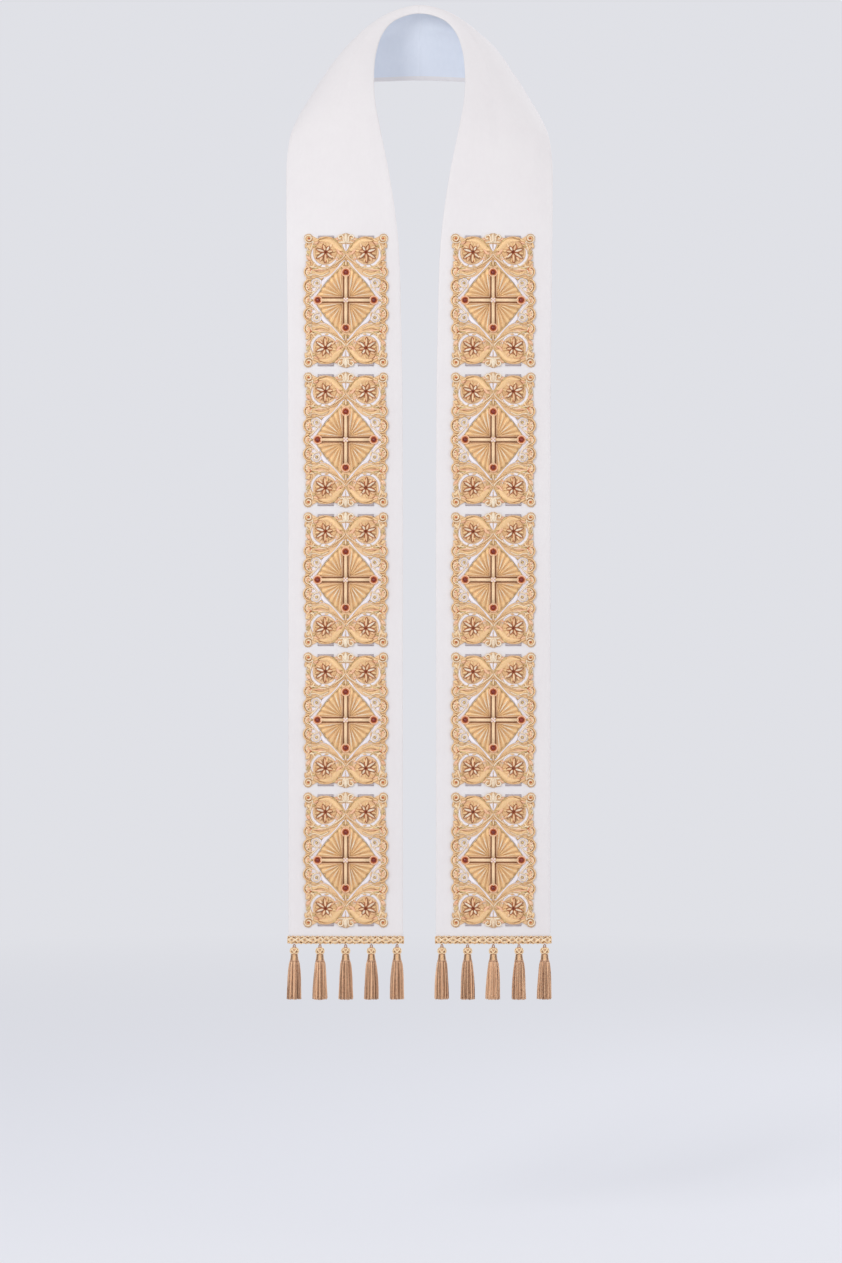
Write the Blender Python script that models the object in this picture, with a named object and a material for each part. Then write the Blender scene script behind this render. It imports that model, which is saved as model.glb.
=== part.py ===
"""A clerical stole, hanging as it is worn: a band of cloth in two mirrored halves, joined by a seam at
the centre back, each with five raised embroidered medallions, a gimp braid at its hem and five tassels.

The frame: the origin is the crest of the neck roll at the centre-back seam, +X is to the wearer's left,
which is the right of a front view, -Y is the front and +Z is up. The right half of the front view is
worked out first, and the other half is its mirror image.
"""

import math

import bmesh
import bpy
import numpy as np
from mathutils import Vector
from mathutils.geometry import delaunay_2d_cdt

MM = 0.001

# The cloth of each half
CLOTH_THICKNESS = 2.0 * MM
SEAM_GAP = 0.3 * MM
ACROSS_STEPS = 8
# Rows of points along each stretch of the band: name, how far it starts down the band, and its rows.
STRETCHES = (
    ("neck", 0.0, 17),
    ("chest", 290 * MM, 9),
    ("panel", 560 * MM, 10),
)

# Sections across the right half, from the nape to the hem, in millimetres.
# The neck edge and the outer edge are points. At the neck edge the cloth stands up by "stand" and leans
# outwards by "lean" before it turns over, and "crown" is how far its middle bulges from a straight line.
SECTION_COLUMNS = (
    "neck_x", "neck_y", "neck_z", "outer_x", "outer_y", "outer_z", "stand", "lean", "crown",
)
SECTIONS = (
    (0.0, -8.0, -12.0, 0.0, 42.0, -88.0, 40.5, 7.0, 1.5),
    (18.0, -11.0, -15.5, 42.0, 43.0, -89.0, 40.5, 10.0, 2.0),
    (34.5, -18.0, -25.0, 80.0, 35.0, -92.0, 39.5, 16.0, 3.5),
    (46.5, -31.0, -42.5, 111.0, 14.0, -100.0, 35.0, 22.0, 7.0),
    (53.0, -49.0, -65.0, 129.0, -16.0, -113.0, 26.0, 26.0, 10.0),
    (55.6, -70.0, -88.0, 140.0, -50.0, -133.0, 16.0, 28.0, 11.5),
    (56.0, -92.0, -114.0, 150.0, -81.0, -156.0, 8.0, 30.0, 10.0),
    (53.8, -112.0, -142.0, 158.0, -107.0, -181.0, 2.0, 34.0, 8.0),
    (48.0, -130.0, -174.0, 161.3, -127.0, -211.0, 0.0, 37.0, 6.0),
    (36.0, -152.0, -236.0, 161.3, -150.0, -262.0, 0.0, 41.0, 4.0),
    (26.7, -168.0, -303.0, 160.4, -167.0, -316.0, 0.0, 44.0, 3.5),
    (21.8, -179.0, -420.0, 158.6, -179.0, -424.0, 0.0, 45.0, 3.0),
    (19.8, -186.0, -600.0, 157.6, -186.0, -600.0, 0.0, 46.0, 2.5),
    (19.8, -188.5, -860.0, 157.4, -188.5, -860.0, 0.0, 46.0, 2.5),
    (19.6, -188.0, -1160.0, 157.2, -188.0, -1160.0, 0.0, 46.0, 2.5),
)
# Rows of SECTIONS between which the crown turns to bulge straight ahead, as the band starts to hang.
CROWN_TURNS_FROM = 6
CROWN_TURNS_TO = 10
# Row of SECTIONS from which the outer edge only goes down.
OUTER_EDGE_HANGS_FROM = 5
# Steps for the slopes of the curved surface, down the band and across it.
RUN_STEP = 0.5 * MM
ACROSS_STEP = 0.01
NEWTON_STEPS = 6

# What lies on the cloth
LAY_GAP = 0.3 * MM
PANEL_CENTRE_X = 88.5 * MM

MEDALLION_COUNT = 5
MEDALLION_PITCH = 168 * MM
FIRST_MEDALLION_Z = -389 * MM
MEDALLION_BASE = 0.9 * MM
MEDALLION_BACK_X = (-33, -11, 11, 33)
MEDALLION_BACK_Z = (-58, -29, 0, 29, 58)
MERGE_DISTANCE = 0.01 * MM
# The scrolled edge of one quarter of a medallion, as arcs from the side to the top, in millimetres and
# degrees: name, centre, radius, first and last angle, points on the arc, and the height of its boss.
EDGE_LOBES = (
    ("side_shell", 43.3, 0.0, 8.2, 0.0, 50.0, 2, 2.3),
    ("side_leaf", 42.5, 16.5, 8.4, -45.0, 45.0, 2, 2.1),
    ("side_curl", 42.5, 32.5, 8.4, -45.0, 45.0, 2, 2.1),
    ("roundel_side", 40.0, 54.0, 9.0, -45.0, 45.0, 2, 2.1),
    ("corner_volute", 45.0, 75.4, 6.6, -80.0, 155.0, 5, 2.3),
    ("roundel_top", 24.0, 58.0, 19.4, 62.0, 114.0, 3, 0.0),
    ("palmette", 0.0, 74.0, 8.4, 34.0, 90.0, 2, 2.3),
)
# How far a boss sits in from the middle of its lobe, as a share of the lobe's radius.
BOSS_INSET = 0.1
LOZENGE_HALF_WIDTH = 39.0 * MM
LOZENGE_HALF_HEIGHT = 43.5 * MM
LOZENGE_FOOT = 1.2 * MM
RAY_CREST = 2.5 * MM
RAY_VALLEY = 1.5 * MM
RAYS_IN_QUARTER = 3
RAY_GAP = 1.5 * MM
# How far the crests and valleys of the rays reach past the straight side of the lozenge.
RAY_CREST_REACH = 1.02
RAY_VALLEY_REACH = 0.97
CROSS_ARM_REACH = 33.5 * MM
CROSS_ARM_HALF_WIDTH = 4.2 * MM
CROSS_CREST = 3.6 * MM
CROSS_END_INSET = 1.5 * MM
STONE_RADIUS = 4.6 * MM
STONE_CREST = 4.8 * MM
STONE_FOOT = 2.6 * MM
STONE_SIDES = 6
FLOWER_X = 24.0 * MM
FLOWER_Z = 58.0 * MM
FLOWER_PETALS = 7
PETAL_REACH = 12.0 * MM
PETAL_VALLEY_REACH = 6.0 * MM
PETAL_TIP = 1.9 * MM
PETAL_VALLEY = 1.2 * MM
FLOWER_CREST = 3.6 * MM
ROUNDEL_RADIUS = 16.0 * MM
ROUNDEL_CREST = 2.1 * MM
ROUNDEL_POINTS = 10

BRAID_TOP_Z = -1151.9 * MM
BRAID_HEIGHT = 10.0 * MM
BRAID_LENGTH = 139.6 * MM
BRAID_EDGE_THICKNESS = 1.2 * MM
BRAID_THICKNESS = 2.6 * MM
BRAID_SCROLLS = 14
BRAID_STEPS_IN_SCROLL = 3
BRAID_SCALLOP = 0.5 * MM
# How far the ridge of a scroll sways up and down, as a share of half the braid's height.
BRAID_SWAY = 0.35
# The part of the panel that the braid takes its curve from. The braid runs a little past the cloth.
BRAID_ON_CLOTH_X = (20.5 * MM, 156.5 * MM)
BRAID_ON_CLOTH_Z = -1158.5 * MM

TASSEL_COUNT = 5
TASSEL_PITCH = 30.8 * MM
TASSEL_SIDES = 12
# The head of a tassel, from its hanging loop down to the wrap that binds the strands:
# name, how far below the braid, and radius, in millimetres.
TASSEL_HEAD = (
    ("loop_top", 0.0, 1.5),
    ("loop_foot", 2.6, 1.5),
    ("head_shoulder", 5.0, 4.0),
    ("head_middle", 8.5, 4.9),
    ("head_foot", 12.0, 4.3),
    ("wrap_foot", 17.6, 4.9),
    ("skirt_root", 19.0, 5.8),
)
TASSEL_LENGTH = 66.0 * MM
SKIRT_HEM_RADIUS = 9.0 * MM
SKIRT_CORE_SHARE = 0.55
STRAND_GAP = 0.25 * MM
# The strands end at seven heights, dealt out in steps of five so that neighbours differ.
STRAND_STAGGER = 1.2 * MM
STRAND_HEIGHTS = 7
STRAND_DEAL = 5

# Finishes: base colour, roughness and metallic value
FINISHES = {
    "cloth": ((0.86, 0.84, 0.83), 0.62, 0.0),
    "embroidery": ((0.80, 0.58, 0.30), 0.42, 0.35),
    "braid": ((0.78, 0.60, 0.32), 0.42, 0.35),
    "tassel": ((0.62, 0.42, 0.23), 0.45, 0.2),
}


def clear_scene():
    """Remove what the start-up scene holds."""
    for obj in list(bpy.data.objects):
        bpy.data.objects.remove(obj)


def finish_material(finish):
    """Return the material for a finish, made once."""
    found = bpy.data.materials.get(finish)
    if found:
        return found
    colour, roughness, metallic = FINISHES[finish]
    material = bpy.data.materials.new(finish)
    material.use_nodes = True
    shader = material.node_tree.nodes["Principled BSDF"]
    shader.inputs["Base Color"].default_value = (*colour, 1.0)
    shader.inputs["Roughness"].default_value = roughness
    shader.inputs["Metallic"].default_value = metallic
    return material


def add_piece(name, points, faces, finish, side):
    """Link one piece. Its points belong to the right half, so side -1 mirrors them and turns the faces."""
    placed = [(side * x, y, z) for x, y, z in points]
    turned = [tuple(reversed(face)) if side < 0 else tuple(face) for face in faces]
    mesh = bpy.data.meshes.new(name)
    mesh.from_pydata(placed, [], turned)
    mesh.materials.append(finish_material(finish))
    mesh.shade_smooth()
    mesh.set_sharp_from_angle(angle=math.radians(40))
    piece = bpy.data.objects.new(name, mesh)
    bpy.context.scene.collection.objects.link(piece)
    return piece


class Band:
    """The curved surface of the right half: a smooth loft through the sections."""

    def __init__(self):
        rows = np.array(SECTIONS) * MM
        column = {name: rows[:, i] for i, name in enumerate(SECTION_COLUMNS)}
        self.neck = np.stack([column["neck_x"], column["neck_y"], column["neck_z"]], axis=1)
        self.outer = np.stack([column["outer_x"], column["outer_y"], column["outer_z"]], axis=1)
        self.shape = np.stack([column["stand"], column["lean"], column["crown"]], axis=1)
        middle = (self.neck + self.outer) / 2
        steps = np.linalg.norm(np.diff(middle, axis=0), axis=1)
        self.knots = np.concatenate([[0.0], np.cumsum(steps)])
        self.length = self.knots[-1]

    def along(self, values, run, mirrored):
        """Values at distances run down the band, on a smooth curve through the rows.

        At the nape the curve goes straight across the seam: mirrored marks the columns that change
        sign there.
        """
        knots = self.knots
        slopes = np.gradient(values, knots, axis=0)
        slopes[0] = np.where(mirrored, (values[1] - values[0]) / (knots[1] - knots[0]), 0.0)
        row = np.clip(np.searchsorted(knots, run, side="right") - 1, 0, len(knots) - 2)
        gap = (knots[row + 1] - knots[row])[:, None]
        t = (run[:, None] - knots[row][:, None]) / gap
        start = (1 + 2 * t) * (1 - t) ** 2 * values[row] + t * (1 - t) ** 2 * gap * slopes[row]
        end = t * t * (3 - 2 * t) * values[row + 1] + t * t * (t - 1) * gap * slopes[row + 1]
        return start + end

    def points(self, run, across):
        """Points in the middle of the cloth. across is 0 at the neck edge and 1 at the outer edge."""
        run, across = np.broadcast_arrays(np.asarray(run, float), np.asarray(across, float))
        run = np.clip(run, 0.0, self.length)
        sideways = np.array([True, False, False])
        neck = self.along(self.neck, run, sideways)
        outer = self.along(self.outer, run, sideways)
        stand, lean, crown = self.along(self.shape, run, np.array([False] * 3)).T
        outwards = (outer - neck) * np.array([1.0, 1.0, 0.0])
        outwards /= np.linalg.norm(outwards, axis=1, keepdims=True)
        up = np.array([0.0, 0.0, 1.0])
        chord = outer - neck
        turn = neck + outwards * lean[:, None] + up * stand[:, None]
        turn[:, 2] += chord[:, 2] * lean / np.linalg.norm(chord, axis=1)
        fall = turn + (outer - turn) * 0.5
        t = across[:, None]
        curve = (
            (1 - t) ** 3 * neck
            + 3 * t * (1 - t) ** 2 * turn
            + 3 * t * t * (1 - t) * fall
            + t**3 * outer
        )
        facing = np.cross(up, outwards)
        bulge = np.cross(chord, facing)
        bulge /= np.linalg.norm(bulge, axis=1, keepdims=True)
        forward = np.array([0.0, -1.0, 0.0])
        turn_start, turn_end = self.knots[CROWN_TURNS_FROM], self.knots[CROWN_TURNS_TO]
        flat_share = np.clip((run - turn_start) / (turn_end - turn_start), 0, 1)[:, None]
        bulge = bulge * (1 - flat_share) + forward * flat_share
        curve += bulge * crown[:, None] * 4 * t * (1 - t)
        curve[:, 0] = np.maximum(curve[:, 0], SEAM_GAP / 2)
        return curve

    def frame(self, run, across):
        """Points in the middle of the cloth, and the directions out of its face there."""
        run, across = np.broadcast_arrays(np.asarray(run, float), np.asarray(across, float))
        above = np.clip(run - RUN_STEP, 0.0, self.length)
        below = np.clip(run + RUN_STEP, 0.0, self.length)
        inner = np.clip(across - ACROSS_STEP, 0.0, 1.0)
        outer = np.clip(across + ACROSS_STEP, 0.0, 1.0)
        down = self.points(below, across) - self.points(above, across)
        over = self.points(run, outer) - self.points(run, inner)
        normal = np.cross(down, over)
        normal[run <= 0.0, 0] = 0.0
        normal /= np.linalg.norm(normal, axis=1, keepdims=True)
        return self.points(run, across), normal

    def on_panel(self, x, z):
        """Middle points and facings of the hanging panel at places x and z, found by a few Newton steps."""
        x, z = np.asarray(x, float), np.asarray(z, float)
        hanging = slice(OUTER_EDGE_HANGS_FROM, None)
        run = np.interp(-z, -self.outer[hanging, 2], self.knots[hanging])
        across = np.full_like(run, 0.5)
        for _ in range(NEWTON_STEPS):
            here = self.points(run, across)
            above = self.points(run - RUN_STEP, across)
            by_run = (self.points(run + RUN_STEP, across) - above) / (2 * RUN_STEP)
            by_across = (self.points(run, across + ACROSS_STEP) - here) / ACROSS_STEP
            miss_x, miss_z = x - here[:, 0], z - here[:, 2]
            area = by_run[:, 0] * by_across[:, 2] - by_run[:, 2] * by_across[:, 0]
            run = run + (miss_x * by_across[:, 2] - miss_z * by_across[:, 0]) / area
            across = across + (by_run[:, 0] * miss_z - by_run[:, 2] * miss_x) / area
            run = np.clip(run, 0.0, self.length - RUN_STEP)
        return self.frame(run, across)

    def lay_on(self, x, z, height):
        """Points that stand a height off the front of the cloth, over its laying gap."""
        middle, facing = self.on_panel(x, z)
        return middle + facing * (CLOTH_THICKNESS / 2 + LAY_GAP + np.asarray(height))[:, None]


def band_rows(band):
    """Distances down the band of the rows of points of its wall."""
    ends = [start for _, start, _ in STRETCHES[1:]] + [band.length]
    rows = []
    for (_, start, count), end in zip(STRETCHES, ends):
        rows.extend(np.linspace(start, end, count, endpoint=False))
    return np.array(rows + [band.length])


def grid_faces(rows, columns, first, turned):
    """Triangles of a grid of points that starts at index first. Both sides of a wall share a diagonal."""
    faces = []
    for row in range(rows - 1):
        for column in range(columns - 1):
            a = first + row * columns + column
            b, c, d = a + 1, a + columns + 1, a + columns
            for triangle in ((a, b, c), (a, c, d)):
                faces.append(triangle[::-1] if turned else triangle)
    return faces


def rim(rows, columns):
    """Indices round the border of a grid, in order."""
    top = list(range(columns))
    right = [row * columns + columns - 1 for row in range(1, rows)]
    bottom = [(rows - 1) * columns + column for column in range(columns - 2, -1, -1)]
    left = [row * columns for row in range(rows - 2, 0, -1)]
    return top + right + bottom + left


def build_band(band, name, side):
    """One half of the band, as a wall with its face, its lining side and its turned edges."""
    rows = band_rows(band)
    across = np.linspace(0.0, 1.0, ACROSS_STEPS + 1)
    run_grid, across_grid = (grid.ravel() for grid in np.meshgrid(rows, across, indexing="ij"))
    middle, facing = band.frame(run_grid, across_grid)
    face_side = middle + facing * CLOTH_THICKNESS / 2
    lining_side = middle - facing * CLOTH_THICKNESS / 2
    points = np.vstack([face_side, lining_side])
    count = len(middle)
    columns = len(across)
    faces = grid_faces(len(rows), columns, 0, turned=True)
    faces += grid_faces(len(rows), columns, count, turned=False)
    border = rim(len(rows), columns)
    for a, b in zip(border, border[1:] + border[:1]):
        faces.append((a, b, b + count, a + count))
    return add_piece(name, points.tolist(), faces, "cloth", side)


# The signs of x and z in the four quarters of a medallion, anticlockwise from the upper right
QUARTERS = ((1, 1), (-1, 1), (-1, -1), (1, -1))


class Relief:
    """Points, heights and fixed edges of a medallion's face, laid out flat in its own x and z."""

    def __init__(self):
        self.places = []
        self.heights = []
        self.edges = []

    def add(self, x, z, height):
        """Add one point and return its index."""
        self.places.append((x, z))
        self.heights.append(height)
        return len(self.places) - 1

    def ring(self, places, heights):
        """Add a closed ring of points with fixed edges."""
        indices = [self.add(x, z, height) for (x, z), height in zip(places, heights)]
        self.edges += list(zip(indices, indices[1:] + indices[:1]))
        return indices

    def spokes(self, centre, tips):
        """Fix the edges from a centre to each tip."""
        self.edges += [(centre, tip) for tip in tips]


def quarter_turns(places):
    """The four mirror images of a quarter's places, joined into one closed ring without doubled points."""
    first = list(places)
    second = [(-x, z) for x, z in reversed(places)]
    third = [(-x, -z) for x, z in places]
    fourth = [(x, -z) for x, z in reversed(places)]
    ring = []
    for place in first + second + third + fourth:
        if not ring or math.dist(place, ring[-1]) > MERGE_DISTANCE:
            ring.append(place)
    if math.dist(ring[0], ring[-1]) < MERGE_DISTANCE:
        ring.pop()
    return ring


def medallion_edge():
    """The scrolled outline of a medallion, from the arcs of its lobes."""
    quarter = []
    for _, x, z, radius, first, last, count, _ in EDGE_LOBES:
        for angle in np.radians(np.linspace(first, last, count)):
            quarter.append(((x + radius * math.cos(angle)) * MM, (z + radius * math.sin(angle)) * MM))
    return quarter_turns(quarter)


def polygon(x, z, radius, count, first=0.0):
    """Places round a circle."""
    angles = [first + 2 * math.pi * i / count for i in range(count)]
    return [(x + radius * math.cos(a), z + radius * math.sin(a)) for a in angles]


def add_lobe_bosses(relief):
    """A raised point in the middle of each scroll of the edge."""
    for _, x, z, radius, _, _, _, height in EDGE_LOBES:
        if height:
            for place in sorted({(sx * x, sz * z) for sx, sz in QUARTERS}):
                inset = 1 - BOSS_INSET * radius / max(math.hypot(x, z), radius)
                relief.add(place[0] * MM * inset, place[1] * MM * inset, height * MM)


def add_flower(relief, x, z):
    """A flower of raised petals inside a raised ring."""
    count = FLOWER_PETALS * 2
    turn = math.pi / 2 if z > 0 else -math.pi / 2
    places = []
    for i in range(count):
        reach = PETAL_REACH if i % 2 == 0 else PETAL_VALLEY_REACH
        angle = turn + 2 * math.pi * i / count
        places.append((x + reach * math.cos(angle), z + reach * math.sin(angle)))
    heights = [PETAL_TIP if i % 2 == 0 else PETAL_VALLEY for i in range(count)]
    petals = relief.ring(places, heights)
    relief.spokes(relief.add(x, z, FLOWER_CREST), petals)
    ring = polygon(x, z, ROUNDEL_RADIUS, ROUNDEL_POINTS, turn)
    relief.ring(ring, [ROUNDEL_CREST] * ROUNDEL_POINTS)


def add_cross(relief):
    """A cross with ridged arms, a round stone at each end, and rays fanned between the arms."""
    half = CROSS_ARM_HALF_WIDTH
    side_angle = math.pi / STONE_SIDES
    neck = CROSS_ARM_REACH - math.sqrt(STONE_RADIUS**2 - (STONE_RADIUS * math.sin(side_angle)) ** 2)
    end = neck - CROSS_END_INSET
    centre = relief.add(0.0, 0.0, CROSS_CREST)
    corners = [relief.add(sx * half, sz * half, LOZENGE_FOOT) for sx, sz in QUARTERS]
    for quarter in range(4):
        angle = quarter * math.pi / 2
        along = Vector((math.cos(angle), math.sin(angle)))
        beside = Vector((-along.y, along.x))
        stone_middle = along * CROSS_ARM_REACH
        ring = polygon(*stone_middle, STONE_RADIUS, STONE_SIDES, angle + math.pi + side_angle)
        stone = relief.ring(ring, [STONE_FOOT] * STONE_SIDES)
        relief.spokes(relief.add(*stone_middle, STONE_CREST), stone)
        ridge = relief.add(*(along * end), CROSS_CREST)
        feet = [relief.add(*(along * end + beside * sign * half), LOZENGE_FOOT) for sign in (1, -1)]
        relief.edges += [(centre, ridge), (feet[0], corners[quarter]), (feet[1], corners[quarter - 1])]
        relief.edges += [(feet[0], ridge), (feet[1], ridge)]
    fan_lozenge(relief, corners)


def fan_lozenge(relief, corners):
    """The lozenge behind the cross: in each quarter, rays rise and fall round the corner of the cross."""
    steps = RAYS_IN_QUARTER * 2
    inset = CROSS_ARM_HALF_WIDTH + RAY_GAP
    rise = inset * LOZENGE_HALF_HEIGHT / LOZENGE_HALF_WIDTH
    for quarter, (sx, sz) in enumerate(QUARTERS):
        first = Vector((LOZENGE_HALF_WIDTH - inset, rise))
        last = Vector((inset, LOZENGE_HALF_HEIGHT - rise))
        tips = []
        for i in range(steps + 1):
            reach, height = (RAY_CREST_REACH, RAY_CREST) if i % 2 else (RAY_VALLEY_REACH, RAY_VALLEY)
            place = first.lerp(last, i / steps) * reach
            tips.append(relief.add(sx * place.x, sz * place.y, height))
        relief.edges += list(zip(tips, tips[1:]))
        relief.spokes(corners[quarter], tips)


def medallion_relief():
    """The whole relief of a medallion's face, with its edge first."""
    relief = Relief()
    edge = medallion_edge()
    relief.ring(edge, [MEDALLION_BASE] * len(edge))
    add_lobe_bosses(relief)
    add_cross(relief)
    for sx, sz in QUARTERS:
        add_flower(relief, sx * FLOWER_X, sz * FLOWER_Z)
    return relief, len(edge)


def filled(places, edges, edge_count):
    """Triangles that fill the ring of the first edge_count places and keep the given edges."""
    flat = [Vector(place) for place in places]
    made = delaunay_2d_cdt(flat, edges, [list(range(edge_count))], 1, MERGE_DISTANCE)
    places_out, _, triangles, origins = made[0], made[1], made[2], made[3]
    if len(places_out) != len(places):
        raise ValueError("two edges of the relief cross")
    source = [origin[0] for origin in origins]
    return [tuple(source[i] for i in triangle) for triangle in triangles]


def facing_front(places, triangle):
    """The triangle, turned so that it faces the front of the cloth."""
    (ax, az), (bx, bz), (cx, cz) = (places[i] for i in triangle)
    area = (bx - ax) * (cz - az) - (cx - ax) * (bz - az)
    return triangle if area > 0 else tuple(reversed(triangle))


def build_medallion(band, name, side, middle_z):
    """One medallion: its raised face, its edge, and a back that follows the cloth."""
    relief, edge_count = medallion_relief()
    front = relief.places
    front_faces = [facing_front(front, t) for t in filled(front, relief.edges, edge_count)]
    back = list(front[:edge_count])
    back += [(x * MM, z * MM) for x in MEDALLION_BACK_X for z in MEDALLION_BACK_Z]
    back_faces = [facing_front(back, t) for t in filled(back, [], edge_count)]
    places = np.array(front + back)
    heights = np.array(relief.heights + [0.0] * len(back))
    points = band.lay_on(PANEL_CENTRE_X + places[:, 0], middle_z + places[:, 1], heights)
    first_back = len(front)
    faces = list(front_faces)
    faces += [tuple(first_back + i for i in reversed(face)) for face in back_faces]
    for i in range(edge_count):
        j = (i + 1) % edge_count
        faces.append((j, i, first_back + i, first_back + j))
    return add_piece(name, points.tolist(), faces, "embroidery", side)


def build_braid(band, name, side):
    """The gimp braid along the hem: a narrow strip whose face rises and falls in a row of small scrolls."""
    count = BRAID_SCROLLS * BRAID_STEPS_IN_SCROLL + 1
    half_height = BRAID_HEIGHT / 2
    points, faces = [], []
    middle_z = BRAID_TOP_Z - half_height
    xs = np.linspace(-0.5, 0.5, count) * BRAID_LENGTH + PANEL_CENTRE_X
    for i, x in enumerate(xs):
        wave = math.cos(2 * math.pi * i / BRAID_STEPS_IN_SCROLL)
        edge = half_height - BRAID_SCALLOP * (1 - wave) / 2
        ridge = half_height * BRAID_SWAY * math.sin(2 * math.pi * i / BRAID_STEPS_IN_SCROLL)
        section = (
            (-edge, 0.0),
            (-edge, BRAID_EDGE_THICKNESS),
            (ridge, BRAID_THICKNESS),
            (edge, BRAID_EDGE_THICKNESS),
            (edge, 0.0),
        )
        inside_x = np.clip(x, *BRAID_ON_CLOTH_X)
        zs = np.array([middle_z + z for z, _ in section])
        inside_z = np.maximum(zs, BRAID_ON_CLOTH_Z)
        placed = band.lay_on(np.full(len(section), inside_x), inside_z, [height for _, height in section])
        placed[:, 0] = x
        placed[:, 2] = zs
        points.extend(placed.tolist())
    size = len(section)
    for i in range(count - 1):
        for j in range(size):
            k = (j + 1) % size
            a, b = i * size + j, i * size + k
            faces.append((a, a + size, b + size, b))
    faces.append(tuple(range(size)))
    faces.append(tuple(reversed(range((count - 1) * size, count * size))))
    return add_piece(name, points, faces, "braid", side)


def tassel_mesh():
    """A tassel that hangs from its own origin: a turned head, and strands that stand apart below it."""
    bm = bmesh.new()
    rings = []
    for _, drop, radius in TASSEL_HEAD:
        places = polygon(0.0, 0.0, radius * MM, TASSEL_SIDES)
        rings.append([bm.verts.new((x, y, -drop * MM)) for x, y in places])
    bm.faces.new(rings[0])
    for upper, lower in zip(rings, rings[1:]):
        for i in range(TASSEL_SIDES):
            j = (i + 1) % TASSEL_SIDES
            bm.faces.new((upper[j], upper[i], lower[i], lower[j]))
    root = -TASSEL_HEAD[-1][1] * MM
    core_radius = TASSEL_HEAD[-1][2] * MM * SKIRT_CORE_SHARE
    core = [bm.verts.new((x, y, root)) for x, y in polygon(0.0, 0.0, core_radius, TASSEL_SIDES)]
    centre = bm.verts.new((0.0, 0.0, root))
    roots = []
    for i in range(TASSEL_SIDES):
        j = (i + 1) % TASSEL_SIDES
        roots.append(bm.faces.new((rings[-1][j], rings[-1][i], core[i], core[j])))
    for i in range(0, TASSEL_SIDES, 2):
        roots.append(bm.faces.new((centre, core[(i + 2) % TASSEL_SIDES], core[i + 1], core[i])))
    bmesh.ops.recalc_face_normals(bm, faces=bm.faces)
    bmesh.ops.inset_individual(bm, faces=roots, thickness=STRAND_GAP, depth=0.0)
    strands = bmesh.ops.extrude_discrete_faces(bm, faces=roots)["faces"]
    flare = SKIRT_HEM_RADIUS / (TASSEL_HEAD[-1][2] * MM)
    for number, strand in enumerate(strands):
        hem = -TASSEL_LENGTH + STRAND_STAGGER * (number * STRAND_DEAL % STRAND_HEIGHTS) / STRAND_HEIGHTS
        for vert in strand.verts:
            vert.co.x *= flare
            vert.co.y *= flare
            vert.co.z = hem
    mesh = bpy.data.meshes.new("tassel")
    bm.to_mesh(mesh)
    bm.free()
    mesh.materials.append(finish_material("tassel"))
    mesh.shade_smooth()
    mesh.set_sharp_from_angle(angle=math.radians(40))
    return mesh


def hang_tassel(band, mesh, name, side, number):
    """Hang one tassel under the braid, in line with the middle of its thickness."""
    x = PANEL_CENTRE_X + (number - (TASSEL_COUNT - 1) / 2) * TASSEL_PITCH
    braid_middle_z = BRAID_TOP_Z - BRAID_HEIGHT / 2
    braid_middle = band.lay_on(np.array([x]), np.array([braid_middle_z]), [BRAID_THICKNESS / 2])[0]
    tassel = bpy.data.objects.new(name, mesh)
    tassel.location = (side * x, braid_middle[1], BRAID_TOP_Z - BRAID_HEIGHT - LAY_GAP)
    bpy.context.scene.collection.objects.link(tassel)
    return tassel


def build_half(band, half, side):
    """Everything on one half of the stole."""
    build_band(band, f"band_{half}", side)
    for number in range(MEDALLION_COUNT):
        middle_z = FIRST_MEDALLION_Z - number * MEDALLION_PITCH
        build_medallion(band, f"medallion_{half}_{number + 1}", side, middle_z)
    build_braid(band, f"braid_{half}", side)


def main():
    clear_scene()
    band = Band()
    tassel = tassel_mesh()
    for half, side in (("right", 1), ("left", -1)):
        build_half(band, half, side)
        for number in range(TASSEL_COUNT):
            hang_tassel(band, tassel, f"tassel_{half}_{number + 1}", side, number)


main()
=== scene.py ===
"""The looks of a clerical stole, round the packed model: draped cloth, embroidered medallions, gimp braid
and tassels, in a plain pale studio.

Lengths are in metres in the packed model's frame. Stitched work is first laid out flat, in millimetres:
x to the right, z up and height off the cloth. The right half of a front view is worked out, and the left
half is its mirror image.
"""

import logging
import math
from collections.abc import Callable, Iterable, Sequence
from dataclasses import dataclass, field
from enum import Enum

import bpy
import numpy as np
from mathutils.geometry import delaunay_2d_cdt
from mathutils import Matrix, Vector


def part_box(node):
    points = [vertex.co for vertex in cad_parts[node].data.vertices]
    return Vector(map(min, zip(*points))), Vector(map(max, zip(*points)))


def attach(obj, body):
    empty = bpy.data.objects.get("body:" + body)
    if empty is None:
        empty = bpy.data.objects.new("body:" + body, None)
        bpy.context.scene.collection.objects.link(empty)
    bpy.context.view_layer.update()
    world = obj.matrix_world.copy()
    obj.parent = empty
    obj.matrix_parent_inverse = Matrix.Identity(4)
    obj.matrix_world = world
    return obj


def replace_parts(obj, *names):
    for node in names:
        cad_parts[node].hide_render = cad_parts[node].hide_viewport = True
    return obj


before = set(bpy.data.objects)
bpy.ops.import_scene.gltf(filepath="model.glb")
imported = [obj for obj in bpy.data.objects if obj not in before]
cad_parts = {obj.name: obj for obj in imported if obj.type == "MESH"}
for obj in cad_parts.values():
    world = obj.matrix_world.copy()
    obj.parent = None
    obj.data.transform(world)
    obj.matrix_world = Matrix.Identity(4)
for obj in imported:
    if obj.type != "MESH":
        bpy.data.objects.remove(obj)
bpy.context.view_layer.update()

MM = 0.001
BODY = "root"
THREAD = "thread"
TURN = 2 * math.pi
# Millimetres: the width of a satin thread and of a leaf's thread, and the steps along a leaf.
SATIN_PITCH, LEAF_PITCH, LEAF_STEP = 0.55, 0.45, 1.7
# A Mix node's sockets for colours; its other sockets take numbers and vectors.
MIX_FACTOR, MIX_FIRST, MIX_SECOND, MIX_RESULT = 0, 6, 7, 2

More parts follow.
